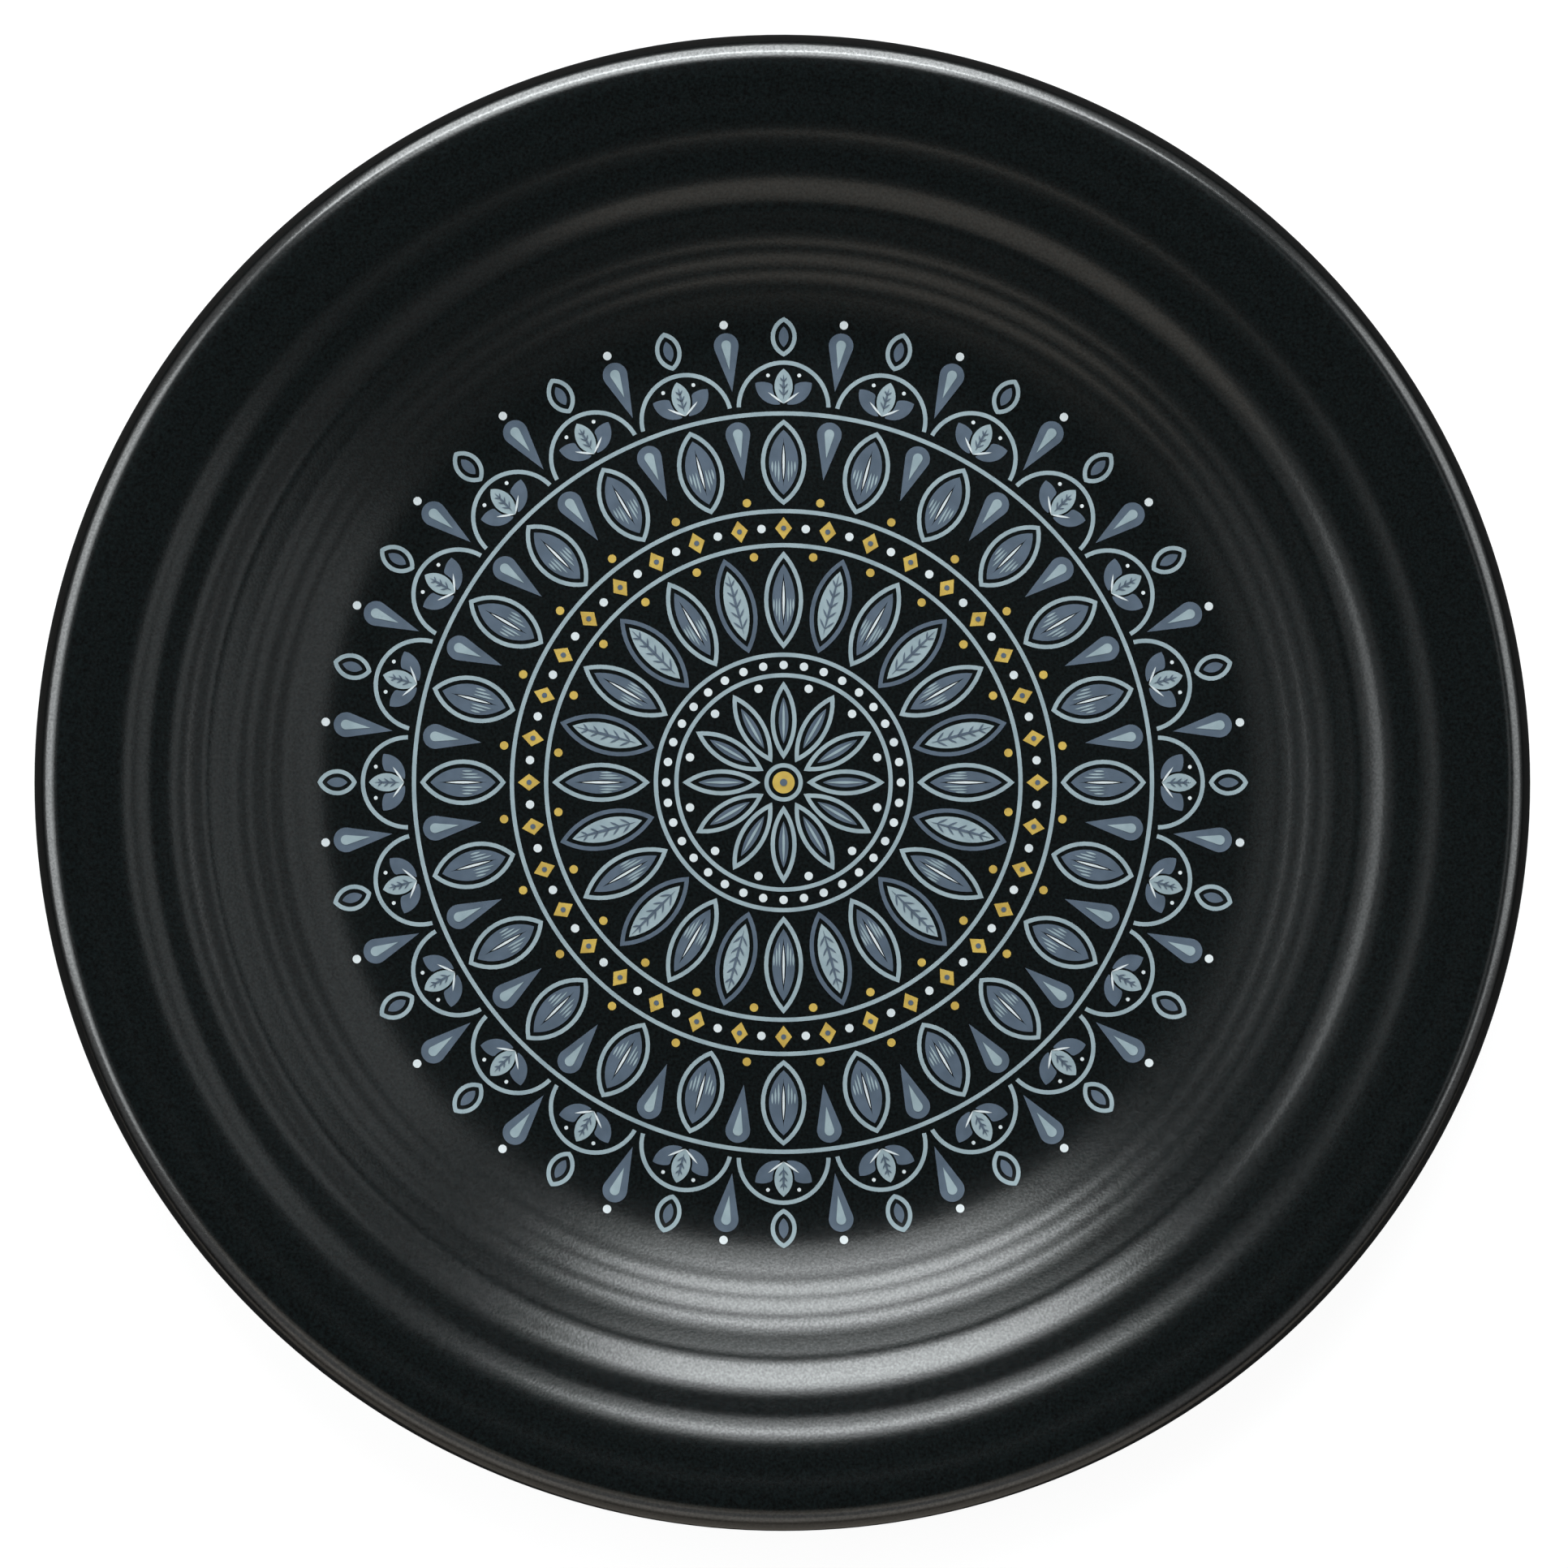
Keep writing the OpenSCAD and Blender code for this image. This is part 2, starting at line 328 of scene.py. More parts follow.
@dataclass(frozen=True)
class SatinBlackGlaze:
    """Iron-black glaze, dipped and fired.

    Fine crystals in it break each reflection into a soft satin glow, and the coat is thicker and darker in
    places. A warm tint is painted on the lip's outer edge: a painted reflection of warm surroundings.
    """

    base: str = "#010202"
    thick: str = "#000101"
    fleck: str = "#0d1516"
    # painted reflection: a warm tint on the lip's outer edge, as if it mirrored warm surroundings
    painted_lip_reflection: str = "#11100f"
    roughness: Grain = Grain(1.1, 0.165, 0.19)
    ior: float = 1.9  # iron and manganese in the glass raise it above 1.5
    clouds: Grain = Grain(9.0, 0.0, 0.7)
    peel: Grain = Grain(2.4, 0.0, 0.0012)
    crystals: Grain = Grain(0.4, 0.0, 0.003)  # coarser than the real crystals, so that they show
    flecks: Grain = Grain(0.45, 0.0, 1.0)
    sparkle: Grain = Grain(0.4, 0.4, 0.6)  # specular level, where 0.5 is that of plain glass
    # where the painted warm reflection on the lip's edge starts and where it is full
    painted_reflection_from: float = 112.0  # mm from the axis
    painted_reflection_to: float = 113.6
    crest: tuple[float, float, float, float] = (111.0, 111.7, 112.4, 113.0)  # mm: starts, full, full, ends
    crest_gloss: float = 1.8  # on the lip's crest iron gathers in the thin coat, which shines more
    crest_ior: float = 2.25

    def build(self, name: str) -> bpy.types.Material:
        """Builds the material.

        Args:
            name: The material's name.

        Returns:
            The material.
        """
        finish = Finish(name)
        # edge marks the lip's outer edge, where a warm reflection is painted into the colour
        edge = finish.add(
            "ShaderNodeMapRange",
            {"Value": finish.radius(), "From Min": self.painted_reflection_from * MM, "From Max": self.painted_reflection_to * MM},
            interpolation_type="SMOOTHSTEP",
        ).outputs[0]
        finish.colour(self.base, (
            (finish.noise(self.clouds), self.thick),
            (finish.noise(self.flecks), self.fleck),
            (edge, self.painted_lip_reflection),
        ))
        finish.feed("Roughness", finish.noise(self.roughness))
        crest = self.on_crest(finish)
        more = {0: crest, 1: self.crest_gloss - 1, 2: 1.0}
        shine = finish.add("ShaderNodeMath", more, operation="MULTIPLY_ADD")
        crystals = finish.noise(self.sparkle)
        gloss = finish.add("ShaderNodeMath", {0: crystals, 1: shine}, operation="MULTIPLY")
        finish.feed("Specular IOR Level", gloss.outputs[0])
        ior = {"Value": crest, "To Min": self.ior, "To Max": self.crest_ior}
        finish.feed("IOR", finish.add("ShaderNodeMapRange", ior).outputs[0])
        finish.relief((self.peel, self.crystals))
        return finish.material

    def on_crest(self, finish: Finish) -> Any:
        """Marks the lip's crest.

        Args:
            finish: The material under construction.

        Returns:
            The output that gives 1 on the crest and 0 elsewhere.
        """
        start, full, last, end = (r * MM for r in self.crest)
        radius = finish.radius()
        inner, outer = (
            finish.add(
                "ShaderNodeMapRange",
                {"Value": radius, "From Min": zero, "From Max": one},
                interpolation_type="SMOOTHSTEP",
            ).outputs[0]
            for zero, one in ((start, full), (end, last))
        )
        return finish.add("ShaderNodeMath", {0: inner, 1: outer}, operation="MULTIPLY").outputs[0]


@dataclass(frozen=True)
class BareClay:
    """Fired clay body, turned and left bare where the plate stands.

    It is dry and chalky, with fine dark specks and a slight tooth from the turning tool.
    """

    base: str = "#cfc8ba"
    stained: str = "#b9ae9b"
    speck: str = "#6f6557"
    clouds: Grain = Grain(6.0, 0.0, 0.8)
    specks: Grain = Grain(0.5, 0.0, 1.0)
    speck_power: float = 9.0  # leaves only the noise's peaks
    roughness: float = 0.85
    tooth: Grain = Grain(0.35, 0.0, 0.02)

    def build(self, name: str) -> bpy.types.Material:
        """Builds the material.

        Args:
            name: The material's name.

        Returns:
            The material.
        """
        finish = Finish(name)
        peaks = {0: finish.noise(self.specks), 1: self.speck_power}
        rare = finish.add("ShaderNodeMath", peaks, operation="POWER").outputs[0]
        finish.colour(self.base, ((finish.noise(self.clouds), self.stained), (rare, self.speck)))
        finish.shader.inputs["Roughness"].default_value = self.roughness
        finish.relief((self.tooth,))
        return finish.material


@dataclass(frozen=True)
class PrintedEnamel:
    """Overglaze enamel, screen-printed as a transfer and fired on.

    It lies on the glaze as a thin satin film, a little uneven where the screen laid less colour.
    """

    base: str
    lean: str  # where the film is thin and the black shows through
    clouds: Grain = Grain(3.0, 0.0, 0.8)
    mesh_grain: Grain = Grain(0.35, 0.0, 0.35)
    roughness: Grain = Grain(0.8, 0.38, 0.52)
    film: Grain = Grain(0.6, 0.0, 0.004)
    ior: float = 1.5

    def build(self, name: str) -> bpy.types.Material:
        """Builds the material.

        Args:
            name: The material's name.

        Returns:
            The material.
        """
        finish = Finish(name)
        share = finish.add(
            "ShaderNodeMath",
            {0: finish.noise(self.clouds), 1: finish.noise(self.mesh_grain)},
            operation="MAXIMUM",
        ).outputs[0]
        finish.colour(self.base, ((share, self.lean),))
        finish.feed("Roughness", finish.noise(self.roughness))
        finish.shader.inputs["IOR"].default_value = self.ior
        finish.relief((self.film,))
        return finish.material


# --- Section of the plate ---


def turn(start: Station, radius: float, heading: float, steps: int) -> list[Station]:
    """Follows an arc.

    Args:
        start: The station that it leaves.
        radius: Its radius in mm, negative where it turns clockwise.
        heading: The heading at its end, in degrees.
        steps: How many stations it gives.

    Returns:
        The stations after the start.
    """
    first, stations = math.radians(start[2]), []
    for i in range(1, steps + 1):
        degrees = start[2] + (heading - start[2]) * i / steps
        angle = math.radians(degrees)
        r = start[0] + radius * (math.sin(angle) - math.sin(first))
        z = start[1] + radius * (math.cos(first) - math.cos(angle))
        stations.append((r, z, degrees))
    return stations


def run(start: Station, arcs: Iterable[tuple[float, float, int]]) -> list[Station]:
    """Follows arcs that meet without a corner.

    Args:
        start: The station that they leave.
        arcs: The width in mm, the heading at the end and the number of steps of each.

    Returns:
        The stations after the start.
    """
    stations = [start]
    for width, heading, steps in arcs:
        last = stations[-1]
        radius = width / (math.sin(math.radians(heading)) - math.sin(math.radians(last[2])))
        stations += turn(last, radius, heading, steps)
    return stations[1:]


class Circle(Enum):
    """A circle of the face that shows as a line."""

    FIRST_FINE_GROOVE = "first fine groove"
    THIRD_FINE_GROOVE = "third fine groove"
    BROAD_GROOVE = "first broad groove"
    BROAD_CREST = "first broad crest"
    OUTER_CREST = "second broad crest"


@dataclass(frozen=True)
class ArcSteps:
    """How many straight steps stand for each arc of the section."""

    knee: int = 12
    sweep: int = 5
    shoulder: int = 5
    fine_ring: int = 8  # on each side of its peak
    bite: int = 6
    hollow: int = 8
    crest: int = 10
    broad_rest: int = 5
    rim_rise: int = 8
    rim_fall: int = 10
    lip: int = 20
    lip_under: int = 12
    back: int = 18
    fillet: int = 8
    foot_edge: int = 6


@dataclass(frozen=True)
class PlateSection:
    """Section through the plate, in mm and degrees, as in the part's source."""

    floor_r: float = 63.2
    floor_z: float = 9.0
    floor_t: float = 5.0
    glaze_t: float = 0.4
    sweep_w: float = 12.95
    knee_w: float = 8.7
    knee_slope: float = 13.4
    sweep_slope: float = 16.0
    shoulder_w: float = 1.3
    fine_widths: tuple[float, ...] = (2.75, 2.9, 3.05, 3.2)
    fine_peaks: tuple[float, ...] = (19.0, 19.5, 18.5, 14.5)
    fine_grooves: tuple[float, ...] = (14.5, 15.7, 15.2, 13.2)
    fine_crests: tuple[float, ...] = (0.6, 0.5, 0.35, 0.7)
    broad_w: float = 8.05
    broad_grooves: tuple[float, ...] = (12.0, 9.8, 4.5)
    broad_bites: tuple[float, ...] = (17.5, 13.8)
    broad_peaks: tuple[float, ...] = (22.5, 18.6)
    broad_lands: tuple[float, ...] = (10.4, 7.0)
    bite_w: float = 1.0
    hollow_w: float = 2.05
    crest_w: float = 3.2
    rim_w: float = 6.05
    rim_slope: float = 10.0
    rim_crest: float = 0.4
    lip_r: float = 4.1
    lip_under_r: float = 2.0
    lip_slope: float = 6.0
    foot_out: float = 3.8
    foot_w: float = 4.6
    foot_slope: float = 15.0
    foot_fillet: float = 1.6
    foot_edge_r: float = 0.7
    wiped_h: float = 1.2
    steps: ArcSteps = ArcSteps()

    @property
    def under_z(self) -> float:
        """Height of the floor's underside."""
        return self.floor_z - self.floor_t

    @property
    def foot_r(self) -> float:
        """Radius of the foot's outer wall."""
        return self.floor_r + self.foot_out

    def face(self) -> list[Station]:
        """Follows the face from the centre to the start of the lip.

        Returns:
            Its stations.
        """
        steps, grooves = self.steps, self.fine_grooves + self.broad_grooves
        arcs = [
            (self.knee_w, self.knee_slope, steps.knee),
            (self.sweep_w - self.knee_w - self.shoulder_w, self.sweep_slope, steps.sweep),
            (self.shoulder_w, grooves[0], steps.shoulder),
        ]
        for width, peak, crest, groove in zip(
            self.fine_widths, self.fine_peaks, self.fine_crests, grooves[1:]
        ):
            arcs += [(width * crest, peak, steps.fine_ring), (width * (1 - crest), groove, steps.fine_ring)]
        rest = self.broad_w - self.bite_w - self.hollow_w - self.crest_w
        for bite, peak, land, groove in zip(
            self.broad_bites, self.broad_peaks, self.broad_lands, self.broad_grooves[1:]
        ):
            arcs += [
                (self.bite_w, bite, steps.bite),
                (self.hollow_w, peak, steps.hollow),
                (self.crest_w, land, steps.crest),
                (rest, groove, steps.broad_rest),
            ]
        arcs += [
            (self.rim_w * self.rim_crest, self.rim_slope, steps.rim_rise),
            (self.rim_w * (1 - self.rim_crest), 0, steps.rim_fall),
        ]
        edge = (self.floor_r, self.floor_z, 0.0)
        return [(0.0, self.floor_z, 0.0), edge] + run(edge, arcs)

    def circle(self, which: Circle) -> Point:
        """Finds one of the face's lines.

        Args:
            which: The line.

        Returns:
            Its radius and height in mm.
        """
        fine = self.floor_r + self.sweep_w
        broad = fine + sum(self.fine_widths)
        crest = broad + self.bite_w + self.hollow_w
        radius = {
            Circle.FIRST_FINE_GROOVE: fine,
            Circle.THIRD_FINE_GROOVE: fine + sum(self.fine_widths[:2]),
            Circle.BROAD_GROOVE: broad,
            Circle.BROAD_CREST: crest,
            Circle.OUTER_CREST: crest + self.broad_w,
        }[which]
        r, z, _ = min(self.face(), key=lambda station: abs(station[0] - radius))
        return r, z

    def lip(self) -> list[Station]:
        """Stations round the lip."""
        over = turn(self.face()[-1], -self.lip_r, -90, self.steps.lip)
        return over + turn(over[-1], -self.lip_under_r, self.lip_slope - 180, self.steps.lip_under)

    def underside(self) -> list[Station]:
        """Follows a cubic from the lip to the foot, and then the foot's outer wall.

        Returns:
            The stations.
        """
        a = self.lip()[-1]
        b = (self.foot_r + self.foot_fillet * (1 - math.sin(math.radians(self.foot_slope))), self.under_z)
        width, steps = a[0] - b[0], self.steps.back
        d0 = -width * math.tan(math.radians(self.lip_slope))
        d1 = -width * math.tan(math.radians(self.foot_slope))
        square, cube = 3 * (b[1] - a[1]) - 2 * d0 - d1, 2 * (a[1] - b[1]) + d0 + d1
        stations = []
        for i in range(1, steps + 1):
            u = i / steps
            rise = d0 + 2 * u * square + 3 * u * u * cube
            z = a[1] + u * d0 + u * u * square + u * u * u * cube
            stations.append((a[0] - u * width, z, -180 - math.degrees(math.atan(rise / width))))
        fillet = turn(stations[-1], self.foot_fillet, -90, self.steps.fillet)
        return stations + fillet + [(self.foot_r, self.wiped_h, -90.0)]

    def coated(self) -> list[Station]:
        """Stations of the glaze that covers the face, the lip and the outside of the foot."""
        return self.face() + self.lip() + self.underside()

    def recess(self) -> list[Station]:
        """Follows the glaze inside the foot and on the ceiling of the recess.

        Returns:
            The stations.
        """
        inner = self.foot_r - self.foot_w
        wall = (inner, self.under_z - self.foot_fillet, -270.0)
        ceiling = turn(wall, self.foot_fillet, -180, self.steps.fillet)
        return [(inner, self.wiped_h, -270.0), wall] + ceiling + [(0.0, self.under_z, -180.0)]

    def bare_foot(self) -> list[Station]:
        """Follows the clay that stands on the table, between the two glazes.

        Returns:
            The stations.
        """
        steps = self.steps.foot_edge
        outer = (self.foot_r - self.glaze_t, self.foot_edge_r, -90.0)
        inner = (self.foot_r - self.foot_w + self.glaze_t + self.foot_edge_r, 0.0, -180.0)
        round_outer = turn(outer, -self.foot_edge_r, -180, steps)
        return [outer] + round_outer + [inner] + turn(inner, -self.foot_edge_r, -270, steps)

    def clay_under(self, stations: Iterable[Station]) -> list[Station]:
        """Goes down through the glaze to the clay.

        Args:
            stations: Stations of the glaze's surface.

        Returns:
            Those of the clay under it.
        """
        return [
            (r + self.glaze_t * math.sin(math.radians(h)), z - self.glaze_t * math.cos(math.radians(h)), h)
            for r, z, h in stations
        ]


def outline(stations: Iterable[Station]) -> list[Point]:
    """Gives the radius and height of each station, none beyond the axis."""
    return [(max(r, 0.0), z) for r, z, _ in stations]


class Lathe:
    """Turns an outline round the Z axis with Geometry Nodes."""

    sharp_from: float = 35.0  # degrees, more than any step of an arc and less than a cut edge

    def __init__(self, segments: int) -> None:
        """Builds the tree: a grid of stations by segments, rolled up round the axis.

        Args:
            segments: Steps round the plate.
        """
        self.segments = segments
        self.tree = Tree("lathe", {"Segments": "NodeSocketInt", "Material": "NodeSocketMaterial"})
        tree, given = self.tree, self.tree.given
        stations = tree.add("GeometryNodeAttributeDomainSize", {"Geometry": given["Geometry"]})
        across = tree.add("ShaderNodeMath", {0: given["Segments"], 1: 1.0}, operation="ADD")
        grid = tree.add("GeometryNodeMeshGrid", {"Vertices X": across, "Vertices Y": stations})
        index = tree.add("GeometryNodeInputIndex")
        station = tree.add("FunctionNodeIntegerMath", {0: index, 1: stations}, operation="MODULO")
        segment = tree.add("FunctionNodeIntegerMath", {0: index, 1: stations}, operation="DIVIDE_FLOOR")
        place = tree.add(
            "GeometryNodeSampleIndex",
            {"Geometry": given["Geometry"], "Value": tree.add("GeometryNodeInputPosition"), "Index": station},
            data_type="FLOAT_VECTOR", domain="POINT",
        )
        angle = tree.angle(segment, given["Segments"])
        turned = tree.add("ShaderNodeVectorRotate", {"Vector": place, "Angle": angle}, rotation_type="Z_AXIS")
        rolled = tree.add("GeometryNodeSetPosition", {"Geometry": grid, "Position": turned})
        closed = tree.add("GeometryNodeMergeByDistance", {"Geometry": rolled, "Distance": WELD})
        tree.end(tree.add("GeometryNodeSetShadeSmooth", {"Geometry": closed}))

    def turned(self, name: str, points: Sequence[Point], material: bpy.types.Material) -> bpy.types.Object:
        """Turns one piece.

        Args:
            name: The piece's name.
            points: Its outline in mm, which starts and ends on the axis or comes back to its start.
            material: Its finish.

        Returns:
            The piece.
        """
        section = bpy.data.meshes.new("section")
        section.from_pydata([(r * MM, 0.0, z * MM) for r, z in points], [], [])
        mesh = self.tree.applied(section, {"Segments": self.segments, "Material": material})
        return finished(name, mesh, self.sharp_from)


# --- Printed rosette ---


def petal(length: float, width: float, inset: float = 0.0, steps: int = 14) -> Band:
    """Gives the left and right edge of a pointed petal from the origin along +Y.

    Args:
        length: From tip to tip, in mm.
        width: At its middle.
        inset: How far inside that outline the shape lies.
        steps: Steps from tip to tip.

    Returns:
        The two edges.
    """
    radius = (length * length + width * width) / (4 * width)
    reach = math.acos((radius - width / 2) / (radius - inset))
    angles = [-reach + 2 * reach * i / steps for i in range(steps + 1)]
    ys = [length / 2 + (radius - inset) * math.sin(a) for a in angles]
    xs = [max((radius - inset) * math.cos(a) - (radius - width / 2), 0.0) for a in angles]
    return [(-x, y) for x, y in zip(xs, ys)], list(zip(xs, ys))


def loop(band: Band) -> list[Point]:
    """Gives the closed outline of a shape, up its right edge and down its left."""
    left, right = band
    return right + left[-2:0:-1]


def petal_line(length: float, width: float, line: float) -> list[Band]:
    """Gives the outline of a petal as a drawn line."""
    outer, inner = loop(petal(length, width)), loop(petal(length, width, line))
    return [(inner + inner[:1], outer + outer[:1])]


def petal_split(core: Band, slit_length: float, slit_width: float) -> list[Band]:
    """Gives a petal's core with a bare slit down its middle.

    Args:
        core: The two edges of the core.
        slit_length: Length of the slit, in mm.
        slit_width: Width of the slit at its middle.

    Returns:
        The two halves.
    """
    left, right = core
    middle = (left[0][1] + left[-1][1]) / 2
    radius = (slit_length**2 + slit_width**2) / (4 * slit_width)

    def half_slit(y: float) -> float:
        """Gives half the slit's width at a height."""
        return max(math.sqrt(max(radius**2 - (y - middle) ** 2, 0)) - radius + slit_width / 2, 0.0)

    inner = [min(half_slit(y), x) for x, y in right]
    halves = []
    for side in (-1, 1):
        seam = [(side * s, y) for s, (_, y) in zip(inner, right)]
        rim = [(side * x, y) for x, y in right]
        halves.append((seam, rim) if side > 0 else (rim, seam))
    return halves


def drop(length: float, width: float, steps: int = 10, flank: int = 4) -> Band:
    """Gives a drop with its point at the origin and its round end outwards.

    Args:
        length: From the point to the round end, in mm.
        width: Of the round end.
        steps: Steps round each side of the round end.
        flank: Steps along each straight side.

    Returns:
        The two edges.
    """
    r = width / 2
    centre = length - r
    side = math.asin(r / centre)
    corner = centre * math.cos(side)
    edge = []
    for i in range(flank):
        along = corner * i / flank
        edge.append((along * math.sin(side), along * math.cos(side)))
    for i in range(steps + 1):
        angle = -side + (math.pi / 2 + side) * i / steps
        edge.append((r * math.cos(angle), centre + r * math.sin(angle)))
    edge[-1] = (0.0, edge[-1][1])
    return [(-x, y) for x, y in edge], edge


def stroke(length: float, width: float, start: float, turn_by: float = 0.0) -> Band:
    """Gives a brush stroke with two pointed ends, which starts on +Y and leans away from it."""
    return moved(petal(length, width, steps=6), start, turn_by)


@dataclass(frozen=True)
class Veins:
    """A leaf's midrib along +Y with pairs of side veins, in mm."""

    start: float  # from the leaf's foot to the midrib's start
    short: float  # from the midrib's end to the leaf's tip
    pairs: int
    side: float  # length of the first pair
    width: float  # of the midrib; the side veins are two thirds of it
    lean: float = 38.0  # degrees that the side veins lean out
    shrink: float = 0.45  # how much shorter a pair at the tip would be

    def strokes(self, foot: float, tip: float) -> list[Band]:
        """Draws the veins.

        Args:
            foot: Where the leaf starts on +Y.
            tip: Where it ends.

        Returns:
            The strokes.
        """
        start, end = foot + self.start, tip - self.short
        strokes = [stroke(end - start, self.width, start)]
        for i in range(self.pairs):
            share = (i + 0.5) / (self.pairs + 0.6)  # from half a step in, and clear of the end
            root, length = start + (end - start) * share, self.side * (1 - self.shrink * share)
            strokes += [stroke(length, self.width * 2 / 3, root, side * self.lean) for side in (-1, 1)]
        return strokes


def disc(r: float, steps: int = 8) -> Band:
    """Gives a disc centred on the origin.

    Args:
        r: Its radius in mm.
        steps: Steps up each side.

    Returns:
        The two edges.
    """
    angles = [math.pi * (i / steps - 0.5) for i in range(steps + 1)]
    edge = [(r * math.cos(a), r * math.sin(a)) for a in angles]
    edge[0], edge[-1] = (0.0, -r), (0.0, r)
    return [(-x, y) for x, y in edge], edge


def arc_line(r: float, line: float, start: float = 0.0, end: float = 360.0, steps: int = 256) -> Band:
    """Gives a drawn arc about the origin.

    Args:
        r: Its inner radius in mm.
        line: Its thickness.
        start: The angle at its start, in degrees.
        end: The angle at its end.
        steps: Steps along it.

    Returns:
        The two edges.
    """
    angles = [math.radians(start + (end - start) * i / steps) for i in range(steps + 1)]
    inner, outer = ([(q * math.cos(a), q * math.sin(a)) for a in angles] for q in (r, r + line))
    return inner, outer


def moved(band: Band, dy: float, turn_by: float = 0.0) -> Band:
    """Turns a shape about the origin and then moves it along +Y.

    Args:
        band: The shape.
        dy: How far it moves, in mm.
        turn_by: How far it turns, in degrees.

    Returns:
        The two edges.
    """
    c, s = math.cos(math.radians(turn_by)), math.sin(math.radians(turn_by))
    left, right = ([(x * c - y * s, x * s + y * c + dy) for x, y in edge] for edge in band)
    return left, right


def kept(band: Band, inside: Callable[[Point], bool]) -> Band:
    """Cuts a shape back, row by row, to where a test fails.

    Args:
        band: The two edges.
        inside: Says whether a point has to go.

    Returns:
        The rows that are left, each between its two new ends.
    """
    rows = []
    for a, b in zip(*band):
        ends = []
        for near, far in ((a, b), (b, a)):
            low, high = 0.0, 1.0
            if inside(near):
                for _ in range(HALVINGS):
                    mid = (low + high) / 2
                    spot = (near[0] + (far[0] - near[0]) * mid, near[1] + (far[1] - near[1]) * mid)
                    low, high = (mid, high) if inside(spot) else (low, mid)
            ends.append((near[0] + (far[0] - near[0]) * low, near[1] + (far[1] - near[1]) * low))
        if not (inside(a) and inside(b)):
            rows.append((ends[0], ends[1]))
    return [row[0] for row in rows], [row[1] for row in rows]


class Pass(Enum):
    """The pass of the press that lays a ring: how many films lie under it."""

    FIRST = 0
    OVERPRINT = 1


@dataclass(frozen=True)
class Ring:
    """A motif and how often it goes round."""

    motif: list[Band]
    count: int = 1
    radius: float = 0.0
    shift: float = 0.0
    columns: int = 2  # cells across each band
    laid: Pass = Pass.FIRST

    def mesh(self) -> bpy.types.Mesh:
        """Makes the flat motif at its place on the ring.

        Returns:
            Its mesh, in metres.
        """
        vertices, faces = [], []
        for left, right in self.motif:
            first = len(vertices)
            for (ax, ay), (bx, by) in zip(left, right):
                for i in range(self.columns + 1):
                    t = i / self.columns
                    vertices.append(((ax + (bx - ax) * t) * MM, (ay + (by - ay) * t + self.radius) * MM, 0.0))
            step = self.columns + 1
            for row in range(len(left) - 1):
                for i in range(self.columns):
                    corner = first + row * step + i
                    faces.append((corner, corner + 1, corner + step + 1, corner + step))
        mesh = bpy.data.meshes.new("motif")
        mesh.from_pydata(vertices, [], faces)
        cleaned(mesh, closed=False)
        return mesh


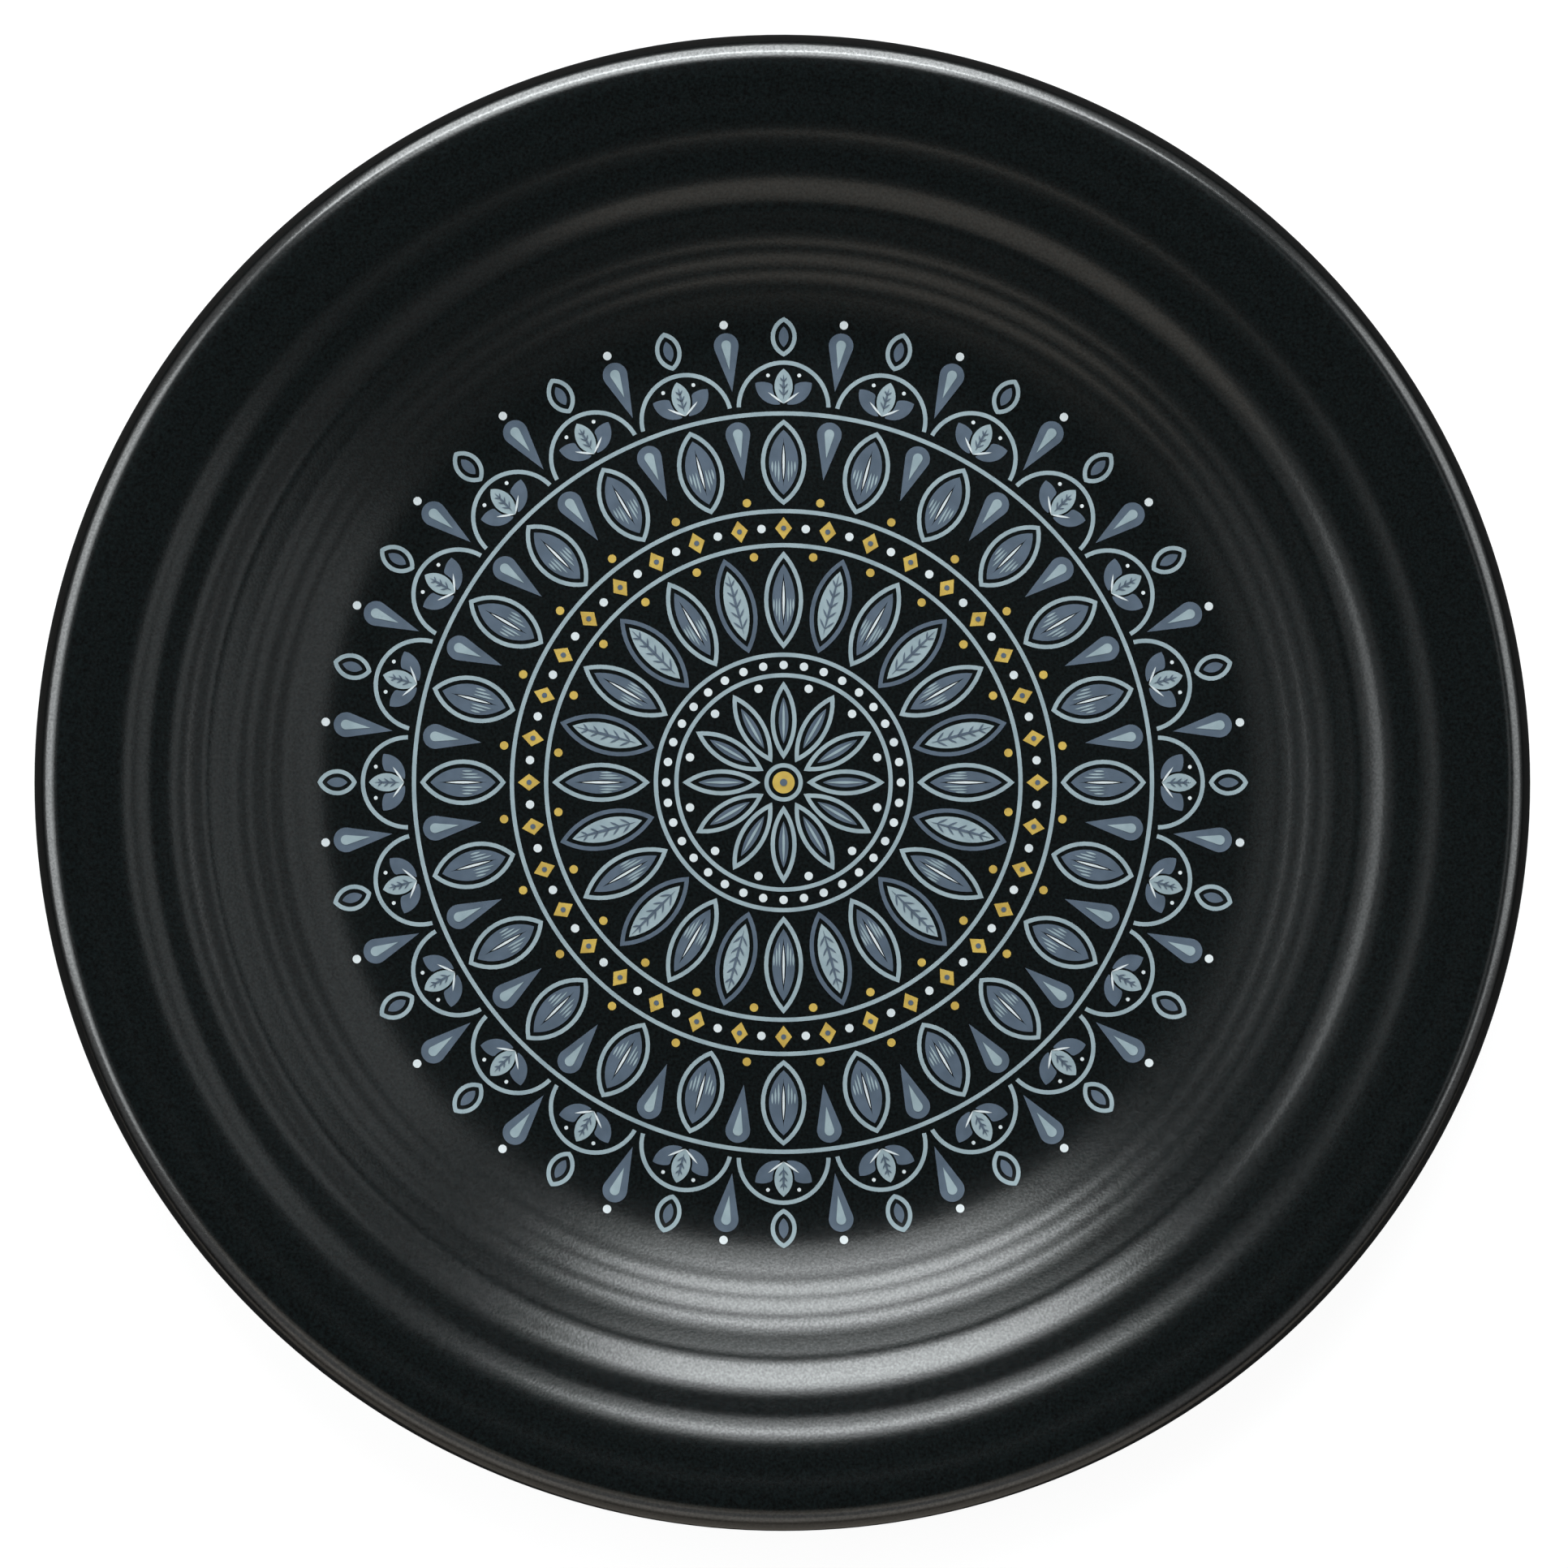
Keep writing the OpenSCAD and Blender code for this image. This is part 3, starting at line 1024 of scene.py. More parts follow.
class Press:
    """Repeats motifs round the plate and lays them on the glaze, with Geometry Nodes."""

    rays_from: float = 0.1  # metres above the table, over the whole plate
    overprint_lift: float = 0.9  # of a film's thickness, so that an overprint sinks into the one under it
    sharp_from: float = 40.0  # degrees, so that a film's edge is sharp and its top smooth

    def __init__(self) -> None:
        """Builds the two trees."""
        self.ring_tree = self._ring_tree()
        self.film_tree = self._film_tree()

    @staticmethod
    def _ring_tree() -> Tree:
        """Builds the tree that sets copies of a motif round the axis.

        Returns:
            The tree.
        """
        tree = Tree(
            "ring of motifs",
            {"Count": "NodeSocketInt", "Shift": "NodeSocketFloat", "Material": "NodeSocketMaterial"},
        )
        given = tree.given
        points = tree.add("GeometryNodePoints", {"Count": given["Count"]})
        index = tree.add("GeometryNodeInputIndex")
        place = tree.add("ShaderNodeMath", {0: index, 1: given["Shift"]}, operation="ADD")
        turning = tree.add("ShaderNodeCombineXYZ", {"Z": tree.angle(place, given["Count"])})
        copies = {"Points": points, "Instance": given["Geometry"], "Rotation": turning}
        tree.end(tree.add("GeometryNodeInstanceOnPoints", copies))
        return tree

    @staticmethod
    def _film_tree() -> Tree:
        """Builds the tree that gives a flat print its thickness and drapes it on the glaze.

        Returns:
            The tree.
        """
        tree = Tree(
            "film on the glaze",
            {
                "Thickness": "NodeSocketFloat",
                "Lift": "NodeSocketFloat",
                "Glaze": "NodeSocketObject",
                "Material": "NodeSocketMaterial",
            },
        )
        given = tree.given
        raised = tree.add(
            "GeometryNodeExtrudeMesh",
            {"Mesh": given["Geometry"], "Offset": (0.0, 0.0, 1.0), "Offset Scale": given["Thickness"],
             "Individual": False},
            mode="FACES",
        )
        back = tree.add("GeometryNodeFlipFaces", {"Mesh": given["Geometry"]})
        both = tree.add("GeometryNodeJoinGeometry")
        for half in (raised.outputs["Mesh"], back.outputs[0]):
            tree.group.links.new(half, both.inputs[0])
        film = tree.add("GeometryNodeMergeByDistance", {"Geometry": both, "Distance": WELD})
        here = tree.add("GeometryNodeInputPosition")
        above = tree.add("ShaderNodeVectorMath", {0: here, 1: (0.0, 0.0, Press.rays_from)}, operation="ADD")
        glaze = tree.add("GeometryNodeObjectInfo", {"Object": given["Glaze"]}, transform_space="ORIGINAL")
        hit = tree.add(
            "GeometryNodeRaycast",
            {"Target Geometry": glaze.outputs["Geometry"], "Source Position": above,
             "Ray Direction": (0.0, 0.0, -1.0), "Ray Length": 1.0},
        )
        under = tree.add("ShaderNodeSeparateXYZ", {0: hit.outputs["Hit Position"]})
        rise = tree.add("ShaderNodeMath", {0: under.outputs["Z"], 1: given["Lift"]}, operation="ADD")
        offset = tree.add("ShaderNodeCombineXYZ", {"Z": rise})
        draped = tree.add("GeometryNodeSetPosition", {"Geometry": film, "Offset": offset})
        tree.end(tree.add("GeometryNodeSetShadeSmooth", {"Geometry": draped}))
        return tree

    def printed(
        self, name: str, rings: Sequence[Ring], thickness: float, glaze: bpy.types.Object,
        material: bpy.types.Material,
    ) -> bpy.types.Object:
        """Prints one enamel.

        Args:
            name: The piece's name.
            rings: The rings that it is made of.
            thickness: Of the film, in mm.
            glaze: The piece that it lies on.
            material: Its finish.

        Returns:
            The piece.
        """
        films = []
        for laid in Pass:
            flat = []
            for ring in rings:
                if ring.laid is laid:
                    values = {"Count": ring.count, "Shift": ring.shift, "Material": material}
                    flat.append(self.ring_tree.applied(ring.mesh(), values))
            if flat:
                lift = self.overprint_lift * laid.value * thickness * MM
                values = {"Thickness": thickness * MM, "Lift": lift, "Glaze": glaze, "Material": material}
                films.append(self.film_tree.applied(joined(flat), values))
        mesh = joined(films)
        mesh.materials.append(material)
        return finished(name, mesh, self.sharp_from)


# --- The plate ---


@dataclass
class TurnedPlate:
    """Clay body with its two glazes, turned from one section."""

    section: PlateSection
    segments: int = 256
    clay_every: int = 3  # under the glaze the clay takes one in so many of the stations

    def build(self) -> dict[str, bpy.types.Object]:
        """Turns the three pieces.

        Returns:
            The piece that stands for each CAD node.
        """
        section, lathe = self.section, Lathe(self.segments)
        glaze = SatinBlackGlaze().build("satin black glaze")
        clay = BareClay().build("bare fired clay")
        coated, recess = section.coated(), section.recess()
        back = section.clay_under(coated[:2] + coated[2:-1:self.clay_every] + coated[-1:])
        inside = section.clay_under(recess)
        shapes = {
            "face_glaze": ("glaze_of_face", coated + back[::-1], glaze, "black_glaze"),
            "recess_glaze": ("glaze_of_recess", recess + inside[::-1] + recess[:1], glaze, "black_glaze"),
            "clay_body": ("turned_clay", back + section.bare_foot() + inside, clay, "clay"),
        }
        pieces = {}
        for node, (name, stations, finish, slot) in shapes.items():
            pieces[node] = lathe.turned(name, outline(stations), finish)
        return pieces


@dataclass
class PrintedRosette:
    """Generic folk rosette in four enamels, laid on the finished glaze."""

    section: PlateSection
    glaze: bpy.types.Object
    enamel_t: float = 0.08
    line: float = 0.65
    gap: float = 0.6
    bead_r: float = 0.65
    slit_w: float = 0.7
    slit_l: float = 0.5  # of the petal's length
    dash_l: float = 0.8  # the white stroke in a slit, of the slit's length
    hatch_sizes: tuple[float, ...] = (0.26, 0.2, 0.13)  # of the petal's length, outwards from the slit
    hatch_from: float = 0.3  # from the slit's edge, on a lotus petal
    hatch_pitch: float = 0.42
    hatch_w: float = 0.28
    hatch_back: float = 0.9  # share of a hatch stroke that lies before the petal's middle
    print_over: float = 8.3
    centre_r: float = 1.7
    daisy_n: int = 12
    daisy_l: float = 12.0
    daisy_w: float = 4.0
    rib_l: float = 0.5  # of the daisy petal's length
    rib_w: float = 0.4
    rib_at: float = 0.24  # of the daisy petal's length
    beads_n: int = 36
    lotus_n: int = 24
    lotus_l: float = 15.0
    lotus_w: float = 6.0
    lotus_veins: Veins = Veins(3.0, 2.6, 5, 1.9, 0.42)
    lozenge_n: int = 36
    lozenge_l: float = 3.4
    lozenge_w: float = 2.6
    pip_r: float = 0.4
    outer_n: int = 24
    spear_w: float = 7.0
    drop_l: float = 9.0
    drop_w: float = 3.8
    inner_l: float = 0.5  # the small drop on a drop, of its length
    inner_w: float = 1.5
    inner_at: float = 0.38  # of the drop's length
    bud_w: float = 2.8
    bud_veins: Veins = Veins(0.7, 0.3, 3, 1.25, 0.36)
    sepal_turn: float = 54.0
    sepal_rib_l: float = 0.55  # of the bud's length
    sepal_rib_w: float = 0.32
    spot_r: float = 0.3
    spot_out: float = 0.1  # past the bud's tip
    spot_lean: float = 26.0
    fringe_l: float = 6.0
    fringe_w: float = 4.0

    def __post_init__(self) -> None:
        """Works out the radii of the rings, from the centre outwards, and the rings' counts with them."""
        step = self.line + self.gap
        self.eye_r = self.centre_r + self.gap
        self.daisy_r = self.eye_r + step
        self.inner_line_r = self.daisy_r + self.daisy_l + self.gap
        self.beads_r = self.inner_line_r + step + self.bead_r
        self.bead_line_r = self.beads_r + self.bead_r + self.gap
        self.lotus_r = self.bead_line_r + step
        self.braid_line_r = self.lotus_r + self.lotus_l + self.gap
        self.lozenge_r = self.braid_line_r + step
        self.outer_line_r = self.lozenge_r + self.lozenge_l + self.gap
        self.spear_r = self.outer_line_r + step
        self.print_r = self.section.floor_r + self.print_over
        self.fringe_r = self.print_r - self.fringe_l
        half = math.sin(math.pi / self.outer_n)
        self.scallop_r = (self.fringe_r - self.gap / 2) / (1 + half)
        self.scallop_w = 2 * self.scallop_r * half - self.gap
        self.scallop_line_r = self.scallop_r - self.gap - self.line
        self.spear_l = self.scallop_line_r - self.gap - self.spear_r
        self.drop_r = self.spear_r + self.spear_l - self.drop_l
        self.tassel_r = self.scallop_r + self.scallop_w / 5
        self.tassel_l = self.print_r - 2 * self.bead_r - self.gap - self.tassel_r
        self.bud_l = self.scallop_w / 2 - self.line - 2 * self.gap
        self.daisies = (self.daisy_n, self.daisy_r)
        self.lotuses = (self.lotus_n // 2, self.lotus_r)
        self.spears, self.scallops, self.drops, self.tassels, self.fringes = (
            (self.outer_n, r)
            for r in (self.spear_r, self.scallop_r, self.drop_r, self.tassel_r, self.fringe_r)
        )

    def core(self, length: float, width: float) -> Band:
        """Gives the filling of a petal inside its drawn line."""
        return petal(length, width, self.line + self.gap)

    def sepals(self) -> list[Band]:
        """Draws the two petals that lean out from a bud, cut clear of it.

        Returns:
            The petals.
        """
        radius = (self.bud_l**2 + self.bud_w**2) / (4 * self.bud_w) + self.gap / 2
        offset = radius - self.gap / 2 - self.bud_w / 2

        def in_bud(spot: Point) -> bool:
            """Says whether a spot lies in the bud or in the gap round it."""
            y = spot[1] - self.gap - self.bud_l / 2
            return max(math.hypot(spot[0] - offset, y), math.hypot(spot[0] + offset, y)) < radius

        return [
            kept(moved(petal(self.bud_l, self.bud_w, steps=20), self.gap, side * self.sepal_turn), in_bud)
            for side in (-1, 1)
        ]

    def outlined(self, length: float, width: float, place: tuple[int, float], shift: float = 0.0) -> Ring:
        """Gives the ring of a petal's drawn line."""
        return Ring(petal_line(length, width, self.line), *place, shift, columns=1)

    def split(self, length: float, width: float) -> list[Band]:
        """Gives a petal's filling with a slit down its middle."""
        return petal_split(self.core(length, width), length * self.slit_l, self.slit_w)

    def dash(self, length: float) -> list[Band]:
        """Gives the stroke in a split petal's slit."""
        dash = length * self.slit_l * self.dash_l
        return [stroke(dash, self.slit_w / 2, (length - dash) / 2)]

    def inner_drop(self, length: float) -> list[Band]:
        """Gives the small drop on a drop."""
        return [moved(drop(length * self.inner_l, self.inner_w, steps=5), length * self.inner_at)]

    def hatch(self, length: float, width: float) -> list[Band]:
        """Shades both halves of a split petal.

        Args:
            length: The petal's length in mm.
            width: Its width.

        Returns:
            The strokes.
        """
        middle, strokes = length / 2, []
        for side in (-1, 1):
            for i, size in enumerate(self.hatch_sizes):
                out = self.slit_w / 2 + self.hatch_from + self.hatch_pitch * i
                offset = side * out * width / self.lotus_w
                edges = stroke(length * size, self.hatch_w, middle - length * size * self.hatch_back)
                left, right = ([(x + offset, y) for x, y in edge] for edge in edges)
                strokes.append((left, right))
        return strokes

    def pale(self) -> list[Ring]:
        """Lists the rings of the pale enamel: most of the drawn lines.

        Returns:
            The rings, in the order of printing.
        """
        lines = (
            self.eye_r, self.inner_line_r, self.bead_line_r,
            self.braid_line_r, self.outer_line_r, self.scallop_line_r,
        )
        arch = arc_line(self.scallop_w / 2 - self.line, self.line, 0, 180, steps=32)
        rib = stroke(self.daisy_l * self.rib_l, self.rib_w, self.daisy_l * self.rib_at)
        over = Pass.OVERPRINT
        return [Ring([arc_line(r, self.line)], columns=1) for r in lines] + [
            self.outlined(self.daisy_l, self.daisy_w, self.daisies),
            self.outlined(self.lotus_l, self.lotus_w, self.lotuses),
            Ring([self.core(self.lotus_l, self.lotus_w)], *self.lotuses, BETWEEN),
            self.outlined(self.spear_l, self.spear_w, self.spears),
            Ring([arch], *self.scallops, columns=1),
            Ring([moved(petal(self.bud_l, self.bud_w), self.gap)], *self.scallops),
            self.outlined(self.fringe_l, self.fringe_w, self.fringes),
            Ring([rib], *self.daisies, laid=over),
            Ring(self.hatch(self.lotus_l, self.lotus_w), *self.lotuses, laid=over),
            Ring(self.hatch(self.spear_l, self.spear_w), *self.spears, laid=over),
            Ring(self.inner_drop(self.drop_l), *self.drops, BETWEEN, laid=over),
            Ring(self.inner_drop(self.tassel_l), *self.tassels, BETWEEN, laid=over),
        ]

    def slate(self) -> list[Ring]:
        """Lists the rings of the slate enamel: most of the fillings.

        Returns:
            The rings, in the order of printing.
        """
        over, pip = Pass.OVERPRINT, moved(disc(self.pip_r, steps=6), self.lozenge_l / 2)
        return [
            Ring([self.core(self.daisy_l, self.daisy_w)], *self.daisies),
            Ring(self.split(self.lotus_l, self.lotus_w), *self.lotuses),
            self.outlined(self.lotus_l, self.lotus_w, self.lotuses, BETWEEN),
            Ring(self.split(self.spear_l, self.spear_w), *self.spears),
            Ring([drop(self.drop_l, self.drop_w)], *self.drops, BETWEEN),
            Ring(self.sepals(), *self.scallops),
            Ring([drop(self.tassel_l, self.drop_w)], *self.tassels, BETWEEN),
            Ring([self.core(self.fringe_l, self.fringe_w)], *self.fringes),
            Ring(self.lotus_veins.strokes(0.0, self.lotus_l), *self.lotuses, BETWEEN, laid=over),
            Ring(self.bud_veins.strokes(self.gap, self.bud_l), *self.scallops, laid=over),
            Ring([disc(self.centre_r / 3)], laid=over),
            Ring([pip], self.lozenge_n, self.lozenge_r, laid=over),
        ]

    def white(self) -> list[Ring]:
        """Lists the rings of the white enamel: beads, fine strokes and dots.

        Returns:
            The rings, in the order of printing.
        """
        bead, sides = [disc(self.bead_r)], (-1, 1)
        ribs = [
            stroke(self.bud_l * self.sepal_rib_l, self.sepal_rib_w, self.gap, side * self.sepal_turn)
            for side in sides
        ]
        spot = moved(disc(self.spot_r, steps=5), self.bud_l + self.spot_out)
        spots = [moved(spot, 0.0, side * self.spot_lean) for side in sides]
        return [
            Ring(self.dash(self.lotus_l), *self.lotuses),
            Ring(self.dash(self.spear_l), *self.spears),
            Ring(spots, *self.scallops),
            Ring(ribs, *self.scallops, laid=Pass.OVERPRINT),
            Ring(bead, self.beads_n, self.beads_r),
            Ring(bead, self.lozenge_n, self.lozenge_r + self.lozenge_l / 2, BETWEEN),
            Ring(bead, self.daisy_n, self.inner_line_r - self.gap - self.bead_r, BETWEEN),
            Ring(bead, self.outer_n, self.print_r - self.bead_r, BETWEEN),
        ]

    def gold(self) -> list[Ring]:
        """Lists the rings of the gold enamel: the centre, the lozenges and beads.

        Returns:
            The rings, in the order of printing.
        """
        bead, half = [disc(self.bead_r)], self.lozenge_w / 2
        left = [(0.0, 0.0), (-half, self.lozenge_l / 2), (0.0, self.lozenge_l)]
        right = [(-x, y) for x, y in left]
        return [
            Ring([disc(self.centre_r, steps=24)]),
            Ring([(left, right)], self.lozenge_n, self.lozenge_r),
            Ring(bead, self.lotus_n, self.braid_line_r - self.gap - self.bead_r, BETWEEN),
            Ring(bead, self.outer_n, self.spear_r + self.bead_r, BETWEEN),
        ]

    def build(self) -> dict[str, bpy.types.Object]:
        """Prints the four enamels.

        Returns:
            The piece that stands for each CAD node.
        """
        enamels = {
            "pale_enamel": (self.pale(), PrintedEnamel("#9aabb1", "#84969e")),
            "slate_enamel": (self.slate(), PrintedEnamel("#566474", "#465361")),
            "white_enamel": (self.white(), PrintedEnamel("#dbe1e3", "#c3ccd0")),
            "gold_enamel": (self.gold(), PrintedEnamel("#cdaf55", "#a98a3c")),
        }
        press, pieces = Press(), {}
        for node, (rings, finish) in enamels.items():
            colour = node.split("_")[0]
            material = finish.build(f"{colour} overglaze enamel")
            pieces[node] = press.printed(f"{colour}_print", rings, self.enamel_t, self.glaze, material)
        return pieces


# --- Studio ---


def area_lamp(name: str, colour: str, radiance: float, wide: float, high: float) -> bpy.types.Object:
    """Makes a rectangular lamp that the camera doesn't see.

    Args:
        name: Its name.
        colour: Its colour, as sRGB hex.
        radiance: Brightness of its face, where 1 is white.
        wide: Its width in metres.
        high: Its height in metres.

    Returns:
        The lamp, at the origin.
    """
    data = bpy.data.lights.new(name, "AREA")
    data.shape = "RECTANGLE"
    data.size, data.size_y = wide, high
    data.energy = radiance * math.pi * data.size * data.size_y
    data.color = linear(colour)[:3]
    lamp = bpy.data.objects.new(name, data)
    lamp.visible_camera = False
    bpy.context.scene.collection.objects.link(lamp)
    return lamp


@dataclass(frozen=True)
class Softbox:
    """A soft lamp that faces the plate's centre."""

    name: str
    azimuth: float  # degrees from +X towards +Y
    polar: float  # degrees from straight above
    wide: float  # degrees that it spans as the plate sees it
    high: float
    radiance: float  # brightness of its face, where 1 is white
    colour: str = "#f5fafb"
    distance: float = 1.6  # metres
    reflected: bool = True  # False for a fill, which lights the enamels and doesn't show in the glaze

    def build(self) -> None:
        """Hangs the lamp."""
        wide, high = (
            2 * self.distance * math.tan(math.radians(span / 2)) for span in (self.wide, self.high)
        )
        lamp = area_lamp(self.name, self.colour, self.radiance, wide, high)
        polar, azimuth = math.radians(self.polar), math.radians(self.azimuth)
        flat = math.sin(polar)
        out = Vector((flat * math.cos(azimuth), flat * math.sin(azimuth), math.cos(polar)))
        lamp.location = out * self.distance
        lamp.rotation_euler = out.to_track_quat("Z", "Y").to_euler()
        lamp.visible_glossy = self.reflected


@dataclass(frozen=True)
class FloorCard:
    """A warm card that lies in front of the plate and lights its lip from below."""

    name: str
    radiance: float
    colour: str
    near: float  # metres from the plate's centre to its near edge
    deep: float  # metres from its near edge to its far one
    wide: float  # metres

    def build(self) -> None:
        """Lays the card a millimetre above the floor, face up."""
        lamp = area_lamp(self.name, self.colour, self.radiance, self.wide, self.deep)
        lamp.location = (0.0, -self.near - self.deep / 2, MM)
        lamp.rotation_euler = (math.pi, 0.0, 0.0)


@dataclass(frozen=True)
class Studio:
    """White floor, soft lamps and a dark ceiling."""

    softboxes: tuple[Softbox, ...] = (
        Softbox("key softbox foot", 92, 41.5, 52, 4, 4.6, distance=1.7),
        Softbox("key softbox middle", 93.5, 34.5, 28.5, 17, 3.8),
        Softbox("key softbox head", 92.5, 31, 19, 24, 1.45, distance=1.5),
        Softbox("key lip card", 95, 57, 49, 27, 1.8, distance=1.7),
        Softbox("key fill", 92, 58, 54, 24, 4.7, distance=1.8, reflected=False),
        Softbox("left softbox edge", 175, 39, 48, 16, 1.2, distance=1.7),
        Softbox("left lip card", 172, 57.5, 42, 21, 1.0),
        Softbox("left fill", 180, 23.5, 32, 7, 0.11, distance=1.8),
        Softbox("left wide fill", 172, 58, 42, 22, 2.4, distance=1.8, reflected=False),
        Softbox("right softbox edge", 6, 43, 49, 8, 0.82, distance=1.7),
        Softbox("right lip card", 14, 57.5, 44, 21, 0.65),
        Softbox("right fill", 8, 23.5, 32, 8, 0.35, distance=1.8),
        Softbox("right wide fill", 14, 58, 44, 22, 1.4, distance=1.8, reflected=False),
        Softbox("warm strip", 256, 34, 44, 16, 0.26, "#fff4e4"),
        Softbox("warm card", 264, 74.5, 70, 30, 0.16, "#fff4e4"),
    )
    floor_card: FloorCard = FloorCard("floor card", 0.28, "#fff4e4", 0.125, 1.4, 1.1)
    floor_side: float = 30.0  # metres
    floor_grey: float = 0.05  # towards the plate, dark so that it throws little light on the glaze
    floor_shaded: float = 0.2  # towards the camera, where it carries the shadow
    floor_glow: float = 0.92  # added for the camera alone, so that the floor comes out white
    ceiling: float = 0.027
    walls: float = 0.13
    walls_from: float = 15.0  # degrees from straight above
    walls_to: float = 42.0
    horizon_from: float = 66.0

    def build(self) -> None:
        """Builds the floor, the lamps and the world."""
        for softbox in self.softboxes:
            softbox.build()
        self.floor_card.build()
        self._floor()
        self._world()

    def _floor(self) -> None:
        """Lays a white floor that keeps the plate's shadow."""
        mesh = bpy.data.meshes.new("floor")
        half = self.floor_side / 2
        corners = [(-half, -half, 0), (half, -half, 0), (half, half, 0), (-half, half, 0)]
        mesh.from_pydata(corners, [], [(0, 1, 2, 3)])
        floor = put_in_scene("white_floor", mesh)
        material = bpy.data.materials.new("white paper floor")
        material.use_nodes = True
        tree = material.node_tree
        tree.nodes.clear()
        seen = add(tree, "ShaderNodeLightPath").outputs["Is Camera Ray"]
        grey = {"Value": seen, "To Min": self.floor_grey, "To Max": self.floor_shaded}
        paper = add(tree, "ShaderNodeBsdfDiffuse", {"Color": add(tree, "ShaderNodeMapRange", grey)})
        light = add(tree, "ShaderNodeMath", {0: seen, 1: self.floor_glow}, operation="MULTIPLY")
        glow = add(tree, "ShaderNodeEmission", {"Strength": light})
        both = add(tree, "ShaderNodeAddShader", {0: paper, 1: glow})
        add(tree, "ShaderNodeOutputMaterial", {"Surface": both})
        mesh.materials.append(material)

    def _world(self) -> None:
        """Makes the world dark for light and white for the camera."""
        world = bpy.data.worlds.new("studio")
        world.use_nodes = True
        tree = world.node_tree
        tree.nodes.clear()
        path = add(tree, "ShaderNodeLightPath")
        up = add(tree, "ShaderNodeSeparateXYZ", {0: add(tree, "ShaderNodeTexCoord").outputs["Generated"]})
        low_z, high_z, horizon_z = (
            math.cos(math.radians(polar)) for polar in (self.walls_to, self.walls_from, self.horizon_from)
        )
        z, walls, ceiling = up.outputs["Z"], self.walls, self.ceiling
        spans = (
            {"Value": z, "From Min": low_z, "From Max": high_z, "To Min": walls, "To Max": ceiling},
            {"Value": z, "From Min": 0.0, "From Max": horizon_z},
        )
        level, low = (
            add(tree, "ShaderNodeMapRange", span, interpolation_type="SMOOTHSTEP") for span in spans
        )
        shade = add(tree, "ShaderNodeMath", {0: level.outputs[0], 1: low.outputs[0]}, operation="MULTIPLY")
        dark, white = (
            add(tree, "ShaderNodeBackground", {"Color": (1.0, 1.0, 1.0, 1.0), "Strength": strength})
            for strength in (shade, 1.0)
        )
        mix = add(tree, "ShaderNodeMixShader", {0: path.outputs["Is Camera Ray"], 1: dark, 2: white})
        add(tree, "ShaderNodeOutputWorld", {"Surface": mix})
        bpy.context.scene.world = world


@dataclass(frozen=True)
class OverheadCamera:
    """The photograph's camera: above the plate, a little to the left and front of its axis."""

    height: float = 1.0  # metres above the point that it aims at
    right: float = -0.030  # metres from the plate's axis
    forward: float = -0.010
    lens: float = 150.25  # mm
    sensor: float = 36.0
    clip: tuple[float, float] = (0.05, 50.0)  # metres
    aim_x: float = -0.0001  # metres
    aim_y: float = -0.0003
    aim_z: float = 0.0145
    shift_x: float = 0.0
    shift_y: float = 0.0

    def build(self) -> bpy.types.Object:
        """Makes the camera the scene's own, with the top of the picture towards +Y.

        Returns:
            The camera.
        """
        data = bpy.data.cameras.new("overhead")
        data.lens, data.sensor_width, data.sensor_fit = self.lens, self.sensor, "AUTO"
        data.shift_x, data.shift_y = self.shift_x, self.shift_y
        data.clip_start, data.clip_end = self.clip
        camera = bpy.data.objects.new("overhead", data)
        place = Vector((self.right, self.forward, self.height + self.aim_z))
        back = (place - Vector((self.aim_x, self.aim_y, self.aim_z))).normalized()
        side = Vector((0.0, 1.0, 0.0)).cross(back).normalized()
        up = back.cross(side)
        camera.matrix_world = Matrix.Translation(place) @ Matrix((side, up, back)).transposed().to_4x4()
        bpy.context.scene.collection.objects.link(camera)
        bpy.context.scene.camera = camera
        return camera


# --- Image points ---


@dataclass(frozen=True)
class Feature:
    """A place in the photograph's frame where one of the face's lines shows."""

    x: float
    y: float
    circle: Circle


